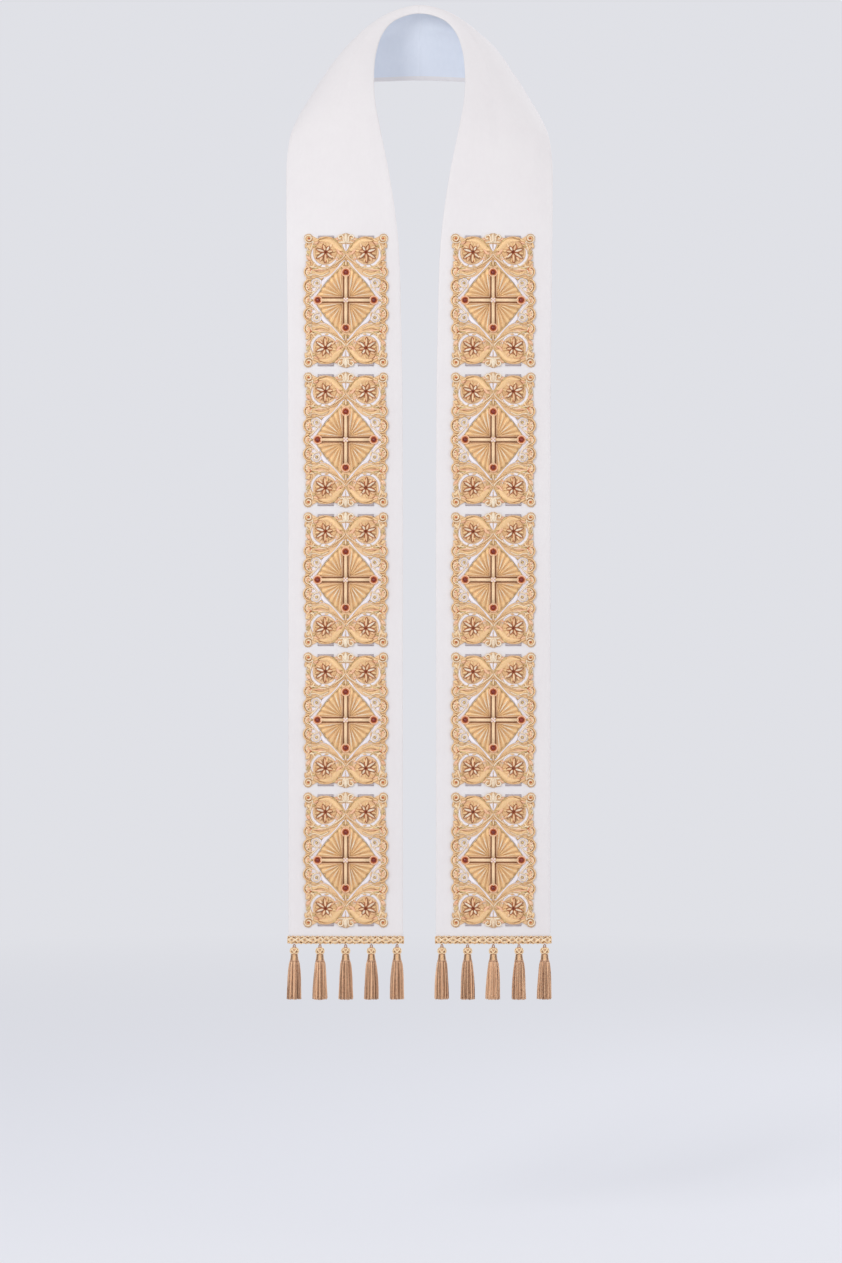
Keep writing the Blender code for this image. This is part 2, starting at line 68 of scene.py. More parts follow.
Colour = tuple[float, float, float]
ScreenColour = tuple[int, int, int]
Place = tuple[float, float]
Spot = tuple[float, float, float]

BACKDROP: Colour = (0.745, 0.752, 0.795)

log = logging.getLogger("stole")


def from_screen(red: int, green: int, blue: int) -> Colour:
    """Turn a colour as a screen shows it, 0 to 255 a channel, into the linear one that a shader takes.

    Args:
        red: the red channel.
        green: the green channel.
        blue: the blue channel.

    Returns:
        The linear colour.
    """

    def linear(channel: int) -> float:
        """Undo the screen's standard curve, which is straight near black and a power above it."""
        share = channel / 255
        return share / 12.92 if share <= 0.04045 else ((share + 0.055) / 1.055) ** 2.4

    return linear(red), linear(green), linear(blue)


class Half(Enum):
    """The two halves of the stole, by the side of a front view that they are on."""

    RIGHT = 1
    LEFT = -1

    @property
    def word(self) -> str:
        """The half's word in node names."""
        return self.name.lower()


# Shader maths


class Shade:
    """A socket of a material, with operators, so that shader maths reads as a Python expression."""

    def __init__(self, nodes: "NodeMaker", socket: bpy.types.NodeSocket) -> None:
        """Wrap a socket that belongs to the nodes of a material."""
        self.nodes = nodes
        self.socket = socket

    def _math(self, operation: str, *values: "Shade | float") -> "Shade":
        """Add a Math node on values, in order, and return its result."""
        return self.nodes.add("ShaderNodeMath", {"operation": operation}, dict(enumerate(values)))

    def __add__(self, other: "Shade | float") -> "Shade":
        """Return self plus other."""
        return self._math("ADD", self, other)

    def __sub__(self, other: "Shade | float") -> "Shade":
        """Return self less other."""
        return self._math("SUBTRACT", self, other)

    def __rsub__(self, other: float) -> "Shade":
        """Return other less self."""
        return self._math("SUBTRACT", other, self)

    def __mul__(self, other: "Shade | float") -> "Shade":
        """Return self times other."""
        return self._math("MULTIPLY", self, other)

    __radd__ = __add__
    __rmul__ = __mul__

    def sine(self) -> "Shade":
        """Return the sine of self, in radians."""
        return self._math("SINE", self)

    def within(self, low: float, high: float) -> "Shade":
        """Return self, held between low and high."""
        return self._math("MINIMUM", self._math("MAXIMUM", self, low), high)


class NodeMaker:
    """Makes the nodes of one material."""

    def __init__(self, tree: bpy.types.NodeTree) -> None:
        """Work on a material's node tree."""
        self.tree = tree

    def add(
        self,
        kind: str,
        settings: dict[str, object] | None = None,
        inputs: dict[str | int, object] | None = None,
        output: str | int = 0,
    ) -> Shade:
        """Add a node.

        Args:
            kind: the node's type.
            settings: the node's own settings, such as a Math node's operation, which are set first.
            inputs: values or links, by the sockets' names or places.
            output: the socket that is returned.

        Returns:
            The output socket.
        """
        node = self.tree.nodes.new(kind)
        for name, value in (settings or {}).items():
            setattr(node, name, value)
        for name, value in (inputs or {}).items():
            self.feed(node.inputs[name], value)
        return Shade(self, node.outputs[output])

    def feed(self, socket: bpy.types.NodeSocket, value: object) -> None:
        """Link a shade to a socket, or set the socket's own value.

        Args:
            socket: the input socket.
            value: a shade, or a number, vector or colour.
        """
        if isinstance(value, Shade):
            self.tree.links.new(value.socket, socket)
        elif socket.type == "RGBA":
            socket.default_value = (*value, 1.0)
        else:
            socket.default_value = value

    def mix(self, factor: Shade, first: object, second: object) -> Shade:
        """Mix two colours by a factor."""
        inputs = {MIX_FACTOR: factor, MIX_FIRST: first, MIX_SECOND: second}
        return self.add("ShaderNodeMix", {"data_type": "RGBA"}, inputs, MIX_RESULT)

    def noise(self, scale: float, detail: float = 2.0, stretch: Place | None = None) -> Shade:
        """Return noise over the object's own places.

        Args:
            scale: how many features there are to a metre.
            detail: the octaves of finer noise.
            stretch: factors on x and z, for streaks.

        Returns:
            The noise, about 0.5 on average.
        """
        place = self.add("ShaderNodeTexCoord", output="Object")
        if stretch:
            factors = (stretch[0], stretch[0], stretch[1])
            place = self.add("ShaderNodeVectorMath", {"operation": "MULTIPLY"}, {0: place, 1: factors})
        inputs = {"Vector": place, "Scale": scale, "Detail": detail}
        return self.add("ShaderNodeTexNoise", inputs=inputs)

    def thread(self) -> tuple[Shade, Shade, Shade]:
        """Read the thread attribute.

        Returns:
            The place along, in threads, the place across, and the shape's own tone; on cloth the places
            are in millimetres.
        """
        place = self.add("ShaderNodeAttribute", {"attribute_name": THREAD}, output="Vector")
        split = self.add("ShaderNodeSeparateXYZ", inputs={0: place})
        outputs = split.socket.node.outputs
        return Shade(self, outputs[0]), Shade(self, outputs[1]), Shade(self, outputs[2])

    def bump(self, height: Shade, depth: float, strength: float = 1.0) -> Shade:
        """Return the normal over a height from 0 to 1 that is depth metres deep."""
        inputs = {"Height": height, "Distance": depth, "Strength": strength}
        return self.add("ShaderNodeBump", inputs=inputs)


@dataclass(frozen=True)
class Finish:
    """The finish of a surface. A kind of finish says how its colours, gloss and relief vary."""

    name: str
    colour: Colour
    roughness: float

    def material(self) -> bpy.types.Material:
        """Make the material, or find it where it is made already.

        Returns:
            The Blender material.
        """
        found = bpy.data.materials.get(self.name)
        if found:
            return found
        made = bpy.data.materials.new(self.name)
        made.use_nodes = True
        nodes = NodeMaker(made.node_tree)
        shader = made.node_tree.nodes["Principled BSDF"]
        nodes.feed(shader.inputs["Base Color"], self.colour)
        nodes.feed(shader.inputs["Roughness"], self.roughness)
        self.dress(nodes, shader)
        return made

    def dress(self, nodes: NodeMaker, shader: bpy.types.Node) -> None:
        """Vary the finish over its surface."""


@dataclass(frozen=True)
class ClothFinish(Finish):
    """A smooth woven cloth: a fine weave, slight slubs, and a soft sheen."""

    shade_colour: Colour = (0.0, 0.0, 0.0)
    weave_pitch: float = 0.55
    weave_depth: float = 0.03 * MM
    slub_depth: float = 0.12 * MM
    slub_scale: float = 260.0
    slub_stretch: Place = (1.0, 0.25)
    cloud_scale: float = 14.0
    sheen: float = 0.25
    sheen_roughness: float = 0.4

    def dress(self, nodes: NodeMaker, shader: bpy.types.Node) -> None:
        """Weave the cloth along its own length and width, which the thread attribute gives.

        Args:
            nodes: the maker of the material's nodes.
            shader: the material's shader.
        """
        along, across, _ = nodes.thread()
        weft = (along * (TURN / self.weave_pitch)).sine()
        warp = (across * (TURN / self.weave_pitch)).sine()
        weave = weft * warp * 0.5 + 0.5
        slubs = nodes.noise(self.slub_scale, 3.0, self.slub_stretch)
        clouds = nodes.noise(self.cloud_scale, 2.0)
        tone = (clouds * 0.7 + slubs * 0.5 - 0.2).within(0.0, 1.0)
        nodes.feed(shader.inputs["Base Color"], nodes.mix(tone, self.shade_colour, self.colour))
        nodes.feed(shader.inputs["Roughness"], slubs * 0.16 + (self.roughness - 0.08))
        relief = nodes.bump(slubs, self.slub_depth, 0.6)
        weave_bump = nodes.bump(weave, self.weave_depth, 0.8)
        nodes.feed(weave_bump.socket.node.inputs["Normal"], relief)
        nodes.feed(shader.inputs["Normal"], weave_bump)
        nodes.feed(shader.inputs["Sheen Weight"], self.sheen)
        nodes.feed(shader.inputs["Sheen Roughness"], self.sheen_roughness)


@dataclass(frozen=True)
class ThreadFinish(Finish):
    """Embroidery thread, cord or strands: a lit and a deep tone, and ridges from thread to thread.

    The shape's own tone counts by tone_reach and the glints by glint_tone. The ridges' painted light and
    shade, lighter on each thread's crest and darker in its valleys, count by ridge_tone, and
    edge_shade paints shade that darkens a shape towards its sides.
    """

    deep: Colour = (0.0, 0.0, 0.0)
    metallic: float = 0.3
    ridge_depth: float = 0.09 * MM
    tone_reach: float = 0.5
    ridge_tone: float = 0.3
    glints: float = 900.0
    glint_tone: float = 0.7
    gloss_spread: float = 0.3
    edge_shade: float = 0.45

    # The lit and deep colours bound a thread's tone, which holds its own tone and painted highlight and
    # shade.
    @classmethod
    def dyed_and_shaded(cls, name: str, lit: ScreenColour, deep: ScreenColour, roughness: float, **settings: float) -> "ThreadFinish":
        """Return a thread by its lit and deep colours as a screen shows them, 0 to 255 a channel."""
        return cls(name, from_screen(*lit), roughness, deep=from_screen(*deep), **settings)

    def dress(self, nodes: NodeMaker, shader: bpy.types.Node) -> None:
        """Paint shade round each thread and towards each shape's sides, and vary each shape by its own tone.

        Args:
            nodes: the maker of the material's nodes.
            shader: the material's shader.
        """
        along, across, own = nodes.thread()
        ridge = (along * TURN).sine() * 0.5 + 0.5
        glint = nodes.noise(self.glints, 1.0)
        # Painted shade: the shape darkens towards its sides, with the square of the place across.
        edge = across * across * self.edge_shade
        # Painted light and shade: the ridge makes each thread lighter on its crest and darker in its
        # valleys.
        tone = own * self.tone_reach + ridge * self.ridge_tone + glint * self.glint_tone - edge
        nodes.feed(shader.inputs["Base Color"], nodes.mix(tone.within(0.0, 1.0), self.deep, self.colour))
        gloss = glint * self.gloss_spread + (self.roughness - self.gloss_spread / 2)
        nodes.feed(shader.inputs["Roughness"], gloss)
        if self.metallic:
            nodes.feed(shader.inputs["Metallic"], glint * (self.metallic * 0.6) + self.metallic * 0.7)
        nodes.feed(shader.inputs["Normal"], nodes.bump(ridge, self.ridge_depth))


@dataclass(frozen=True)
class StoneFinish(Finish):
    """A polished stone or pearl, with faint clouds inside."""

    cloud: Colour = (0.0, 0.0, 0.0)
    cloud_scale: float = 420.0
    coat: float = 1.0
    coat_roughness: float = 0.05

    def dress(self, nodes: NodeMaker, shader: bpy.types.Node) -> None:
        """Cloud the stone's colour, and give it a polished coat.

        Args:
            nodes: the maker of the material's nodes.
            shader: the material's shader.
        """
        clouds = (nodes.noise(self.cloud_scale, 2.0) * 2.0 - 0.5).within(0.0, 1.0)
        nodes.feed(shader.inputs["Base Color"], nodes.mix(clouds, self.cloud, self.colour))
        nodes.feed(shader.inputs["Coat Weight"], self.coat)
        nodes.feed(shader.inputs["Coat Roughness"], self.coat_roughness)


@dataclass(frozen=True)
class FloorFinish(Finish):
    """A pale studio floor that fades into the light all round, far from the object."""

    glow: Colour = BACKDROP
    fade_from: float = 1.4
    fade_to: float = 4.0

    def dress(self, nodes: NodeMaker, shader: bpy.types.Node) -> None:
        """Turn the floor's own colour into a glow with distance from the middle.

        Args:
            nodes: the maker of the material's nodes.
            shader: the material's shader.
        """
        place = nodes.add("ShaderNodeTexCoord", output="Object")
        reach = nodes.add("ShaderNodeVectorMath", {"operation": "LENGTH"}, {0: place}, "Value")
        share = ((reach - self.fade_from) * (1 / (self.fade_to - self.fade_from))).within(0.0, 1.0)
        nodes.feed(shader.inputs["Base Color"], nodes.mix(share, self.colour, (0.0, 0.0, 0.0)))
        nodes.feed(shader.inputs["Emission Color"], nodes.mix(share, (0.0, 0.0, 0.0), self.glow))
        nodes.feed(shader.inputs["Emission Strength"], 1.0)
        nodes.feed(shader.inputs["Specular IOR Level"], 0.0)


class Palette:
    """Every finish of the stole and its studio."""

    FACE = ClothFinish(
        "face_cloth", from_screen(236, 232, 230), 0.62, shade_colour=from_screen(228, 223, 222)
    )
    LINING = ClothFinish(
        "lining_cloth",
        from_screen(233, 238, 246),
        0.36,
        shade_colour=from_screen(221, 227, 237),
        weave_pitch=0.4,
        slub_depth=0.05 * MM,
    )
    GOLD = ThreadFinish.dyed_and_shaded("gold_satin", (253, 216, 163), (206, 153, 101), 0.42)
    LIGHT_GOLD = ThreadFinish.dyed_and_shaded("light_gold_satin", (255, 229, 184), (226, 168, 112), 0.4, metallic=0.2)
    # The rays' wide tone reach carries the painted light on their crests and the painted shade between them.
    RAYS = ThreadFinish.dyed_and_shaded("ray_satin", (248, 205, 148), (184, 124, 76), 0.42, tone_reach=0.85)
    FILLING = ThreadFinish.dyed_and_shaded("gold_filling", (243, 206, 160), (199, 150, 108), 0.5)
    OLIVE = ThreadFinish.dyed_and_shaded("green_gold_thread", (234, 204, 146), (170, 130, 76), 0.42)
    CREAM = ThreadFinish.dyed_and_shaded("cream_gold_cord", (255, 242, 216), (220, 172, 122), 0.38, metallic=0.2)
    PEACH = ThreadFinish.dyed_and_shaded("peach_satin", (255, 214, 178), (226, 150, 104), 0.42, metallic=0.1)
    ARM = ThreadFinish.dyed_and_shaded("orange_gold_satin", (255, 222, 178), (220, 154, 104), 0.4, metallic=0.2)
    RUST = ThreadFinish.dyed_and_shaded("rust_satin", (216, 122, 70), (158, 72, 36), 0.45, metallic=0.1)
    BROWN = ThreadFinish.dyed_and_shaded("brown_cord", (184, 116, 70), (118, 64, 34), 0.45, metallic=0.1)
    SILVER = ThreadFinish.dyed_and_shaded("silver_ground", (248, 240, 241), (204, 192, 198), 0.42, metallic=0.1)
    GREY = ThreadFinish.dyed_and_shaded("grey_edge_strip", (210, 197, 196), (172, 155, 158), 0.55, metallic=0.0)
    GARNET = StoneFinish("garnet", from_screen(154, 44, 18), 0.16, cloud=from_screen(92, 20, 8), coat=0.25)
    PEARL = StoneFinish(
        "pearl", from_screen(252, 236, 226), 0.24, cloud=from_screen(240, 200, 180), coat=0.5
    )
    STRAND = ThreadFinish.dyed_and_shaded(
        "tassel_strand",
        (248, 203, 162),
        (118, 66, 44),
        0.38,
        ridge_depth=0.03 * MM,
        metallic=0.1,
        tone_reach=0.9,
        ridge_tone=0.08,
        glints=500.0,
        edge_shade=0.1,
    )
    # The neck cords' full tone reach carries the painted light and shade round each ring.
    NECK = ThreadFinish.dyed_and_shaded(
        "tassel_neck_cord",
        (246, 204, 156),
        (92, 52, 34),
        0.4,
        metallic=0.1,
        tone_reach=1.0,
        ridge_tone=0.2,
        edge_shade=0.1,
    )
    WRAP = ThreadFinish.dyed_and_shaded("tassel_wrap", (206, 154, 108), (98, 56, 36), 0.42, metallic=0.1)
    FLOOR = FloorFinish("floor", (0.80, 0.805, 0.83), 0.9)


STITCH_FINISHES = tuple(
    finish for finish in vars(Palette).values() if isinstance(finish, (ThreadFinish, StoneFinish))
)


def make_mesh(
    name: str,
    points: np.ndarray,
    faces: Sequence[Sequence[int]],
    finishes: Sequence[Finish],
    kinds: Sequence[int],
    threads: np.ndarray,
) -> bpy.types.Object:
    """Make an object from points and faces.

    Args:
        name: the object's name.
        points: its points, in metres.
        faces: the indices of each face's corners.
        finishes: the finishes that its faces use.
        kinds: for each face, the place of its finish among them.
        threads: the thread attribute of each point.

    Returns:
        The object, linked to the scene.
    """
    mesh = bpy.data.meshes.new(name)
    mesh.from_pydata(points.tolist(), [], faces)
    used = sorted(set(kinds))
    for kind in used:
        mesh.materials.append(finishes[kind].material())
    slots = {kind: place for place, kind in enumerate(used)}
    mesh.polygons.foreach_set("material_index", [slots[kind] for kind in kinds])
    attribute = mesh.attributes.new(THREAD, "FLOAT_VECTOR", "POINT")
    attribute.data.foreach_set("vector", threads.astype(np.float32).ravel())
    mesh.shade_smooth()
    made = bpy.data.objects.new(name, mesh)
    bpy.context.scene.collection.objects.link(made)
    return made


# The cloth


@dataclass(frozen=True)
class Crease:
    """A soft fold of the cloth: where it starts and ends, as run down the band in millimetres and share
    across it, how deep it is, how wide, and which half it is on."""

    run: float
    across: float
    run_end: float
    across_end: float
    depth: float
    width: float
    halves: tuple[Half, ...] = (Half.RIGHT, Half.LEFT)


CREASES = (
    Crease(6, 0.22, 120, 0.50, -1.3, 11),
    Crease(30, 0.42, 150, 0.66, 0.9, 13, (Half.RIGHT,)),
    Crease(12, 0.58, 96, 0.74, 0.8, 12, (Half.LEFT,)),
    Crease(70, 0.12, 210, 0.34, 1.1, 10),
    Crease(95, 0.80, 190, 0.62, -1.0, 12, (Half.RIGHT,)),
    Crease(84, 0.88, 170, 0.70, -0.8, 9, (Half.LEFT,)),
    Crease(150, 0.30, 262, 0.58, -0.8, 12, (Half.LEFT,)),
    Crease(165, 0.26, 290, 0.46, -0.9, 13, (Half.RIGHT,)),
    Crease(190, 0.90, 330, 0.74, 0.7, 11),
    Crease(235, 0.10, 330, 0.16, 0.6, 9),
    Crease(262, 0.94, 400, 0.965, -0.5, 6, (Half.RIGHT,)),
    Crease(300, 0.02, 420, 0.05, 0.5, 7, (Half.LEFT,)),
    Crease(560, 0.97, 700, 0.98, 0.5, 7, (Half.LEFT,)),
    Crease(640, 0.01, 800, 0.03, -0.5, 7, (Half.RIGHT,)),
    Crease(850, 0.975, 980, 0.985, -0.45, 6, (Half.RIGHT,)),
    Crease(930, 0.02, 1060, 0.03, 0.4, 7, (Half.LEFT,)),
)


@dataclass
class Band:
    """One half's band of cloth, draped round the neck: a smooth loft through its sections.

    Sections run from the nape to the hem, in millimetres. The neck edge and the outer edge are points. At
    the neck edge the cloth stands up by stand and leans outwards by lean before it turns over, and crown
    is how far its middle bulges from a straight line.
    """

    columns: tuple[str, ...] = (
        "neck_x", "neck_y", "neck_z", "outer_x", "outer_y", "outer_z", "stand", "lean", "crown",
    )
    sections: tuple[tuple[float, ...], ...] = (
        (0.0, -8.0, -12.0, 0.0, 42.0, -88.0, 40.5, 7.0, 1.5),
        (18.0, -11.0, -15.5, 42.0, 43.0, -89.0, 40.5, 10.0, 2.0),
        (34.5, -18.0, -25.0, 80.0, 35.0, -92.0, 39.5, 16.0, 3.5),
        (46.5, -31.0, -42.5, 111.0, 14.0, -100.0, 35.0, 22.0, 7.0),
        (53.0, -49.0, -65.0, 129.0, -16.0, -113.0, 26.0, 26.0, 10.0),
        (55.6, -70.0, -88.0, 140.0, -50.0, -133.0, 16.0, 28.0, 11.5),
        (56.0, -92.0, -114.0, 150.0, -81.0, -156.0, 8.0, 30.0, 10.0),
        (53.8, -112.0, -142.0, 158.0, -107.0, -181.0, 2.0, 34.0, 8.0),
        (48.0, -130.0, -174.0, 161.3, -127.0, -211.0, 0.0, 37.0, 6.0),
        (36.0, -152.0, -236.0, 161.3, -150.0, -262.0, 0.0, 41.0, 4.0),
        (26.7, -168.0, -303.0, 160.4, -167.0, -316.0, 0.0, 44.0, 3.5),
        (21.8, -179.0, -420.0, 158.6, -179.0, -424.0, 0.0, 45.0, 3.0),
        (19.8, -186.0, -600.0, 157.6, -186.0, -600.0, 0.0, 46.0, 2.5),
        (19.8, -188.5, -860.0, 157.4, -188.5, -860.0, 0.0, 46.0, 2.5),
        (19.6, -188.0, -1160.0, 157.2, -188.0, -1160.0, 0.0, 46.0, 2.5),
    )
    crown_turns_from: int = 6
    crown_turns_to: int = 10
    outer_edge_hangs_from: int = 5
    thickness: float = 2.0 * MM
    lay_gap: float = 0.3 * MM
    seam_gap: float = 0.04 * MM
    cut: Place = (0.138, 1.25)
    cut_area: float = 0.164
    row_pitch: float = 4.4 * MM
    seam_rows: tuple[float, ...] = (0.5 * MM, 1.2 * MM, 2.4 * MM)
    lining_slack: float = 1.9 * MM
    slack_starts: float = 16.0
    seam_depth: float = 0.45
    seam_width: float = 1.3
    ripple_depth: float = 0.25
    ripple_starts: float = 20.0
    face_columns: int = 38
    roll_angles: tuple[float, ...] = (45.0, 90.0, 135.0)
    sharp_angle: float = 60.0
    run_step: float = 0.5 * MM
    across_step: float = 0.01
    newton_steps: int = 6
    panel_x: Place = (20.6 * MM, 156.2 * MM)
    panel_low: float = -1158.5 * MM

    def __post_init__(self) -> None:
        """Measure the sections along the middle of the band."""
        rows = np.array(self.sections) * MM
        column = {name: rows[:, i] for i, name in enumerate(self.columns)}
        self.neck = np.stack([column["neck_x"], column["neck_y"], column["neck_z"]], axis=1)
        self.outer = np.stack([column["outer_x"], column["outer_y"], column["outer_z"]], axis=1)
        self.shape = np.stack([column["stand"], column["lean"], column["crown"]], axis=1)
        middle = (self.neck + self.outer) / 2
        steps = np.linalg.norm(np.diff(middle, axis=0), axis=1)
        self.knots = np.concatenate([[0.0], np.cumsum(steps)])
        self.length = float(self.knots[-1])

    def along(self, values: np.ndarray, run: np.ndarray, mirrored: np.ndarray) -> np.ndarray:
        """Read rows of values at distances down the band, on a smooth curve through the rows.

        Args:
            values: a row for each section.
            run: distances down the band.
            mirrored: the columns that change sign at the nape.

        Returns:
            A row for each distance.
        """
        knots = self.knots
        slopes = np.gradient(values, knots, axis=0)
        slopes[0] = np.where(mirrored, (values[1] - values[0]) / (knots[1] - knots[0]), 0.0)
        row = np.clip(np.searchsorted(knots, run, side="right") - 1, 0, len(knots) - 2)
        gap = (knots[row + 1] - knots[row])[:, None]
        t = (run[:, None] - knots[row][:, None]) / gap
        start = (1 + 2 * t) * (1 - t) ** 2 * values[row] + t * (1 - t) ** 2 * gap * slopes[row]
        end = t * t * (3 - 2 * t) * values[row + 1] + t * t * (t - 1) * gap * slopes[row + 1]
        return start + end

    def points(self, run: np.ndarray, across: np.ndarray) -> np.ndarray:
        """Find places in the middle of the cloth.

        Args:
            run: distances down the band.
            across: 0 at the neck edge to 1 at the outer edge.

        Returns:
            The points, a row each.
        """
        run = np.clip(run, 0.0, self.length)
        sideways = np.array([True, False, False])
        neck = self.along(self.neck, run, sideways)
        outer = self.along(self.outer, run, sideways)
        stand, lean, crown = self.along(self.shape, run, np.array([False] * 3)).T
        outwards = (outer - neck) * np.array([1.0, 1.0, 0.0])
        outwards /= np.linalg.norm(outwards, axis=1, keepdims=True)
        up = np.array([0.0, 0.0, 1.0])
        chord = outer - neck
        turn = neck + outwards * lean[:, None] + up * stand[:, None]
        turn[:, 2] += chord[:, 2] * lean / np.linalg.norm(chord, axis=1)
        fall = turn + (outer - turn) * 0.5
        t = across[:, None]
        s = 1 - t
        curve = s**3 * neck + 3 * t * s**2 * turn + 3 * t * t * s * fall + t**3 * outer
        bulge = np.cross(chord, np.cross(up, outwards))
        bulge /= np.linalg.norm(bulge, axis=1, keepdims=True)
        turn_start, turn_end = self.knots[self.crown_turns_from], self.knots[self.crown_turns_to]
        flat_share = np.clip((run - turn_start) / (turn_end - turn_start), 0, 1)[:, None]
        bulge = bulge * (1 - flat_share) + np.array([0.0, -1.0, 0.0]) * flat_share
        curve += bulge * crown[:, None] * 4 * t * (1 - t)
        curve[:, 0] = np.maximum(curve[:, 0], self.seam_gap / 2)
        return curve

    def frame(self, run: np.ndarray, across: np.ndarray) -> tuple[np.ndarray, np.ndarray]:
        """Find places in the middle of the cloth, and which way its face looks there.

        Args:
            run: distances down the band.
            across: 0 at the neck edge to 1 at the outer edge.

        Returns:
            The points, and the directions out of the face, a row each.
        """
        above = np.clip(run - self.run_step, 0.0, self.length)
        below = np.clip(run + self.run_step, 0.0, self.length)
        inner = np.clip(across - self.across_step, 0.0, 1.0)
        outer = np.clip(across + self.across_step, 0.0, 1.0)
        down = self.points(below, across) - self.points(above, across)
        over = self.points(run, outer) - self.points(run, inner)
        normal = np.cross(down, over)
        normal[run <= 0.0, 0] = 0.0
        normal /= np.linalg.norm(normal, axis=1, keepdims=True)
        return self.points(run, across), normal

    def on_panel(self, x: np.ndarray, z: np.ndarray) -> tuple[np.ndarray, np.ndarray]:
        """Find the hanging front at places seen from the front, with a few Newton steps.

        Args:
            x: distances from the middle of the stole.
            z: heights in the frame.

        Returns:
            The points, and the directions out of the face, a row each.
        """
        hanging = slice(self.outer_edge_hangs_from, None)
        run = np.interp(-z, -self.outer[hanging, 2], self.knots[hanging])
        across = np.full_like(run, 0.5)
        for _ in range(self.newton_steps):
            here = self.points(run, across)
            above = self.points(run - self.run_step, across)
            by_run = (self.points(run + self.run_step, across) - above) / (2 * self.run_step)
            by_across = (self.points(run, across + self.across_step) - here) / self.across_step
            miss_x, miss_z = x - here[:, 0], z - here[:, 2]
            area = by_run[:, 0] * by_across[:, 2] - by_run[:, 2] * by_across[:, 0]
            run = run + (miss_x * by_across[:, 2] - miss_z * by_across[:, 0]) / area
            across = across + (by_run[:, 0] * miss_z - by_run[:, 2] * miss_x) / area
            run = np.clip(run, 0.0, self.length - self.run_step)
        return self.frame(run, across)

    def lay_on(self, x: np.ndarray, z: np.ndarray, height: np.ndarray) -> np.ndarray:
        """Stand places off the face of the right half's hanging front.

        Args:
            x: distances from the middle of the stole; past the cloth's edge its curve goes straight on.
            z: heights in the frame; below the hem the cloth goes straight on.
            height: how far off the cloth's face, above the laying gap.

        Returns:
            The points, a row each.
        """
        inside_x = np.clip(x, *self.panel_x)
        inside_z = np.maximum(z, self.panel_low)
        middle, facing = self.on_panel(inside_x, inside_z)
        laid = middle + facing * (self.thickness / 2 + self.lay_gap + height)[:, None]
        laid[:, 0] += x - inside_x
        laid[:, 2] += z - inside_z
        return laid

    def creased(self, run: np.ndarray, across: np.ndarray, half: Half) -> np.ndarray:
        """Work out how far the creases, a faint ripple and the seam move the cloth.

        Args:
            run: distances down the band.
            across: 0 at the neck edge to 1 at the outer edge.
            half: the half of the stole.

        Returns:
            The distances out of its face, in metres.
        """
        width = self.cut[0] / MM
        here = np.stack([run / MM, across * width], axis=1)
        moved = np.zeros(len(run))
        for crease in CREASES:
            if half not in crease.halves:
                continue
            start = np.array([crease.run, crease.across * width])
            way = np.array([crease.run_end, crease.across_end * width]) - start
            share = ((here - start) @ way) / (way @ way)
            nearest = start + np.clip(share, 0, 1)[:, None] * way
            beside = np.linalg.norm(here - nearest, axis=1)
            taper = np.sin(np.clip(share, 0, 1) * math.pi) ** 0.7
            moved += crease.depth * taper * np.exp(-((beside / crease.width) ** 2) * 2)
        long_wave = np.sin(run / MM / 61 + half.value)
        ripple = self.ripple_depth * long_wave * np.sin(run / MM / 37 + across * 3)
        seam = self.seam_depth * np.exp(-((run / MM / self.seam_width) ** 2))
        return (moved + ripple * np.clip(run / MM / self.ripple_starts, 0, 1) - seam) * MM

    def build(self, half: Half) -> bpy.types.Object:
        """Make one half's band as a thin shell with a face, a lining and turned edges.

        Args:
            half: the half to make.

        Returns:
            The object.
        """
        even = np.linspace(0.0, self.length, round(self.length / self.row_pitch) + 1)
        rows = np.concatenate([[0.0], np.array(self.seam_rows), even[1:]])
        inset = self.thickness / 2 / self.cut[0]
        columns = np.linspace(inset, 1 - inset, self.face_columns)
        run, across = (grid.ravel() for grid in np.meshgrid(rows, columns, indexing="ij"))
        middle, facing = self.frame(run, across)
        middle = middle + facing * self.creased(run, across, half)[:, None]
        middle[:, 0] = np.maximum(middle[:, 0], self.seam_gap / 2)
        shape = (len(rows), len(columns), 3)
        middle, facing = middle.reshape(shape), facing.reshape(shape)
        reach = self.thickness / 2
        rings = [middle + facing * reach]
        rings += self._edge_roll(middle[:, -1:], facing[:, -1:], middle[:, -1:] - middle[:, -2:-1], 1)
        loose = self._loose(run, across, half).reshape(len(rows), len(columns), 1)
        rings.append((middle - facing * (reach + loose))[:, ::-1])
        rings += self._edge_roll(middle[:, :1], facing[:, :1], middle[:, :1] - middle[:, 1:2], -1)
        wall = np.concatenate(rings, axis=1)
        count, around = wall.shape[:2]
        index = np.arange(count * around).reshape(count, around)
        following = np.roll(index, -1, axis=1)
        walls = np.stack([index[:-1], index[1:], following[1:], following[:-1]], axis=-1).reshape(-1, 4)
        columns_count = len(columns)
        lining_first = columns_count + len(self.roll_angles)
        sides = np.zeros(around, int)
        sides[lining_first + 1 : lining_first + columns_count - 2] = 1
        kinds = np.tile(sides, count - 1).tolist()
        faces = walls.tolist()
        for ring, turned in ((index[0], True), (index[-1], False)):
            cap = self._end_cap(ring.tolist(), columns_count)
            faces += [face[::-1] if turned else face for face in cap]
            kinds += [0] * len(cap)
        threads = self._weave_places(rows, columns, around)
        points = wall.reshape(-1, 3) * np.array([half.value, 1.0, 1.0])
        if half is Half.RIGHT:
            faces = [face[::-1] for face in faces]
        finishes = (Palette.FACE, Palette.LINING)
        made = make_mesh(f"cloth_{half.word}", points, faces, finishes, kinds, threads)
        made.data.set_sharp_from_angle(angle=math.radians(self.sharp_angle))
        return made

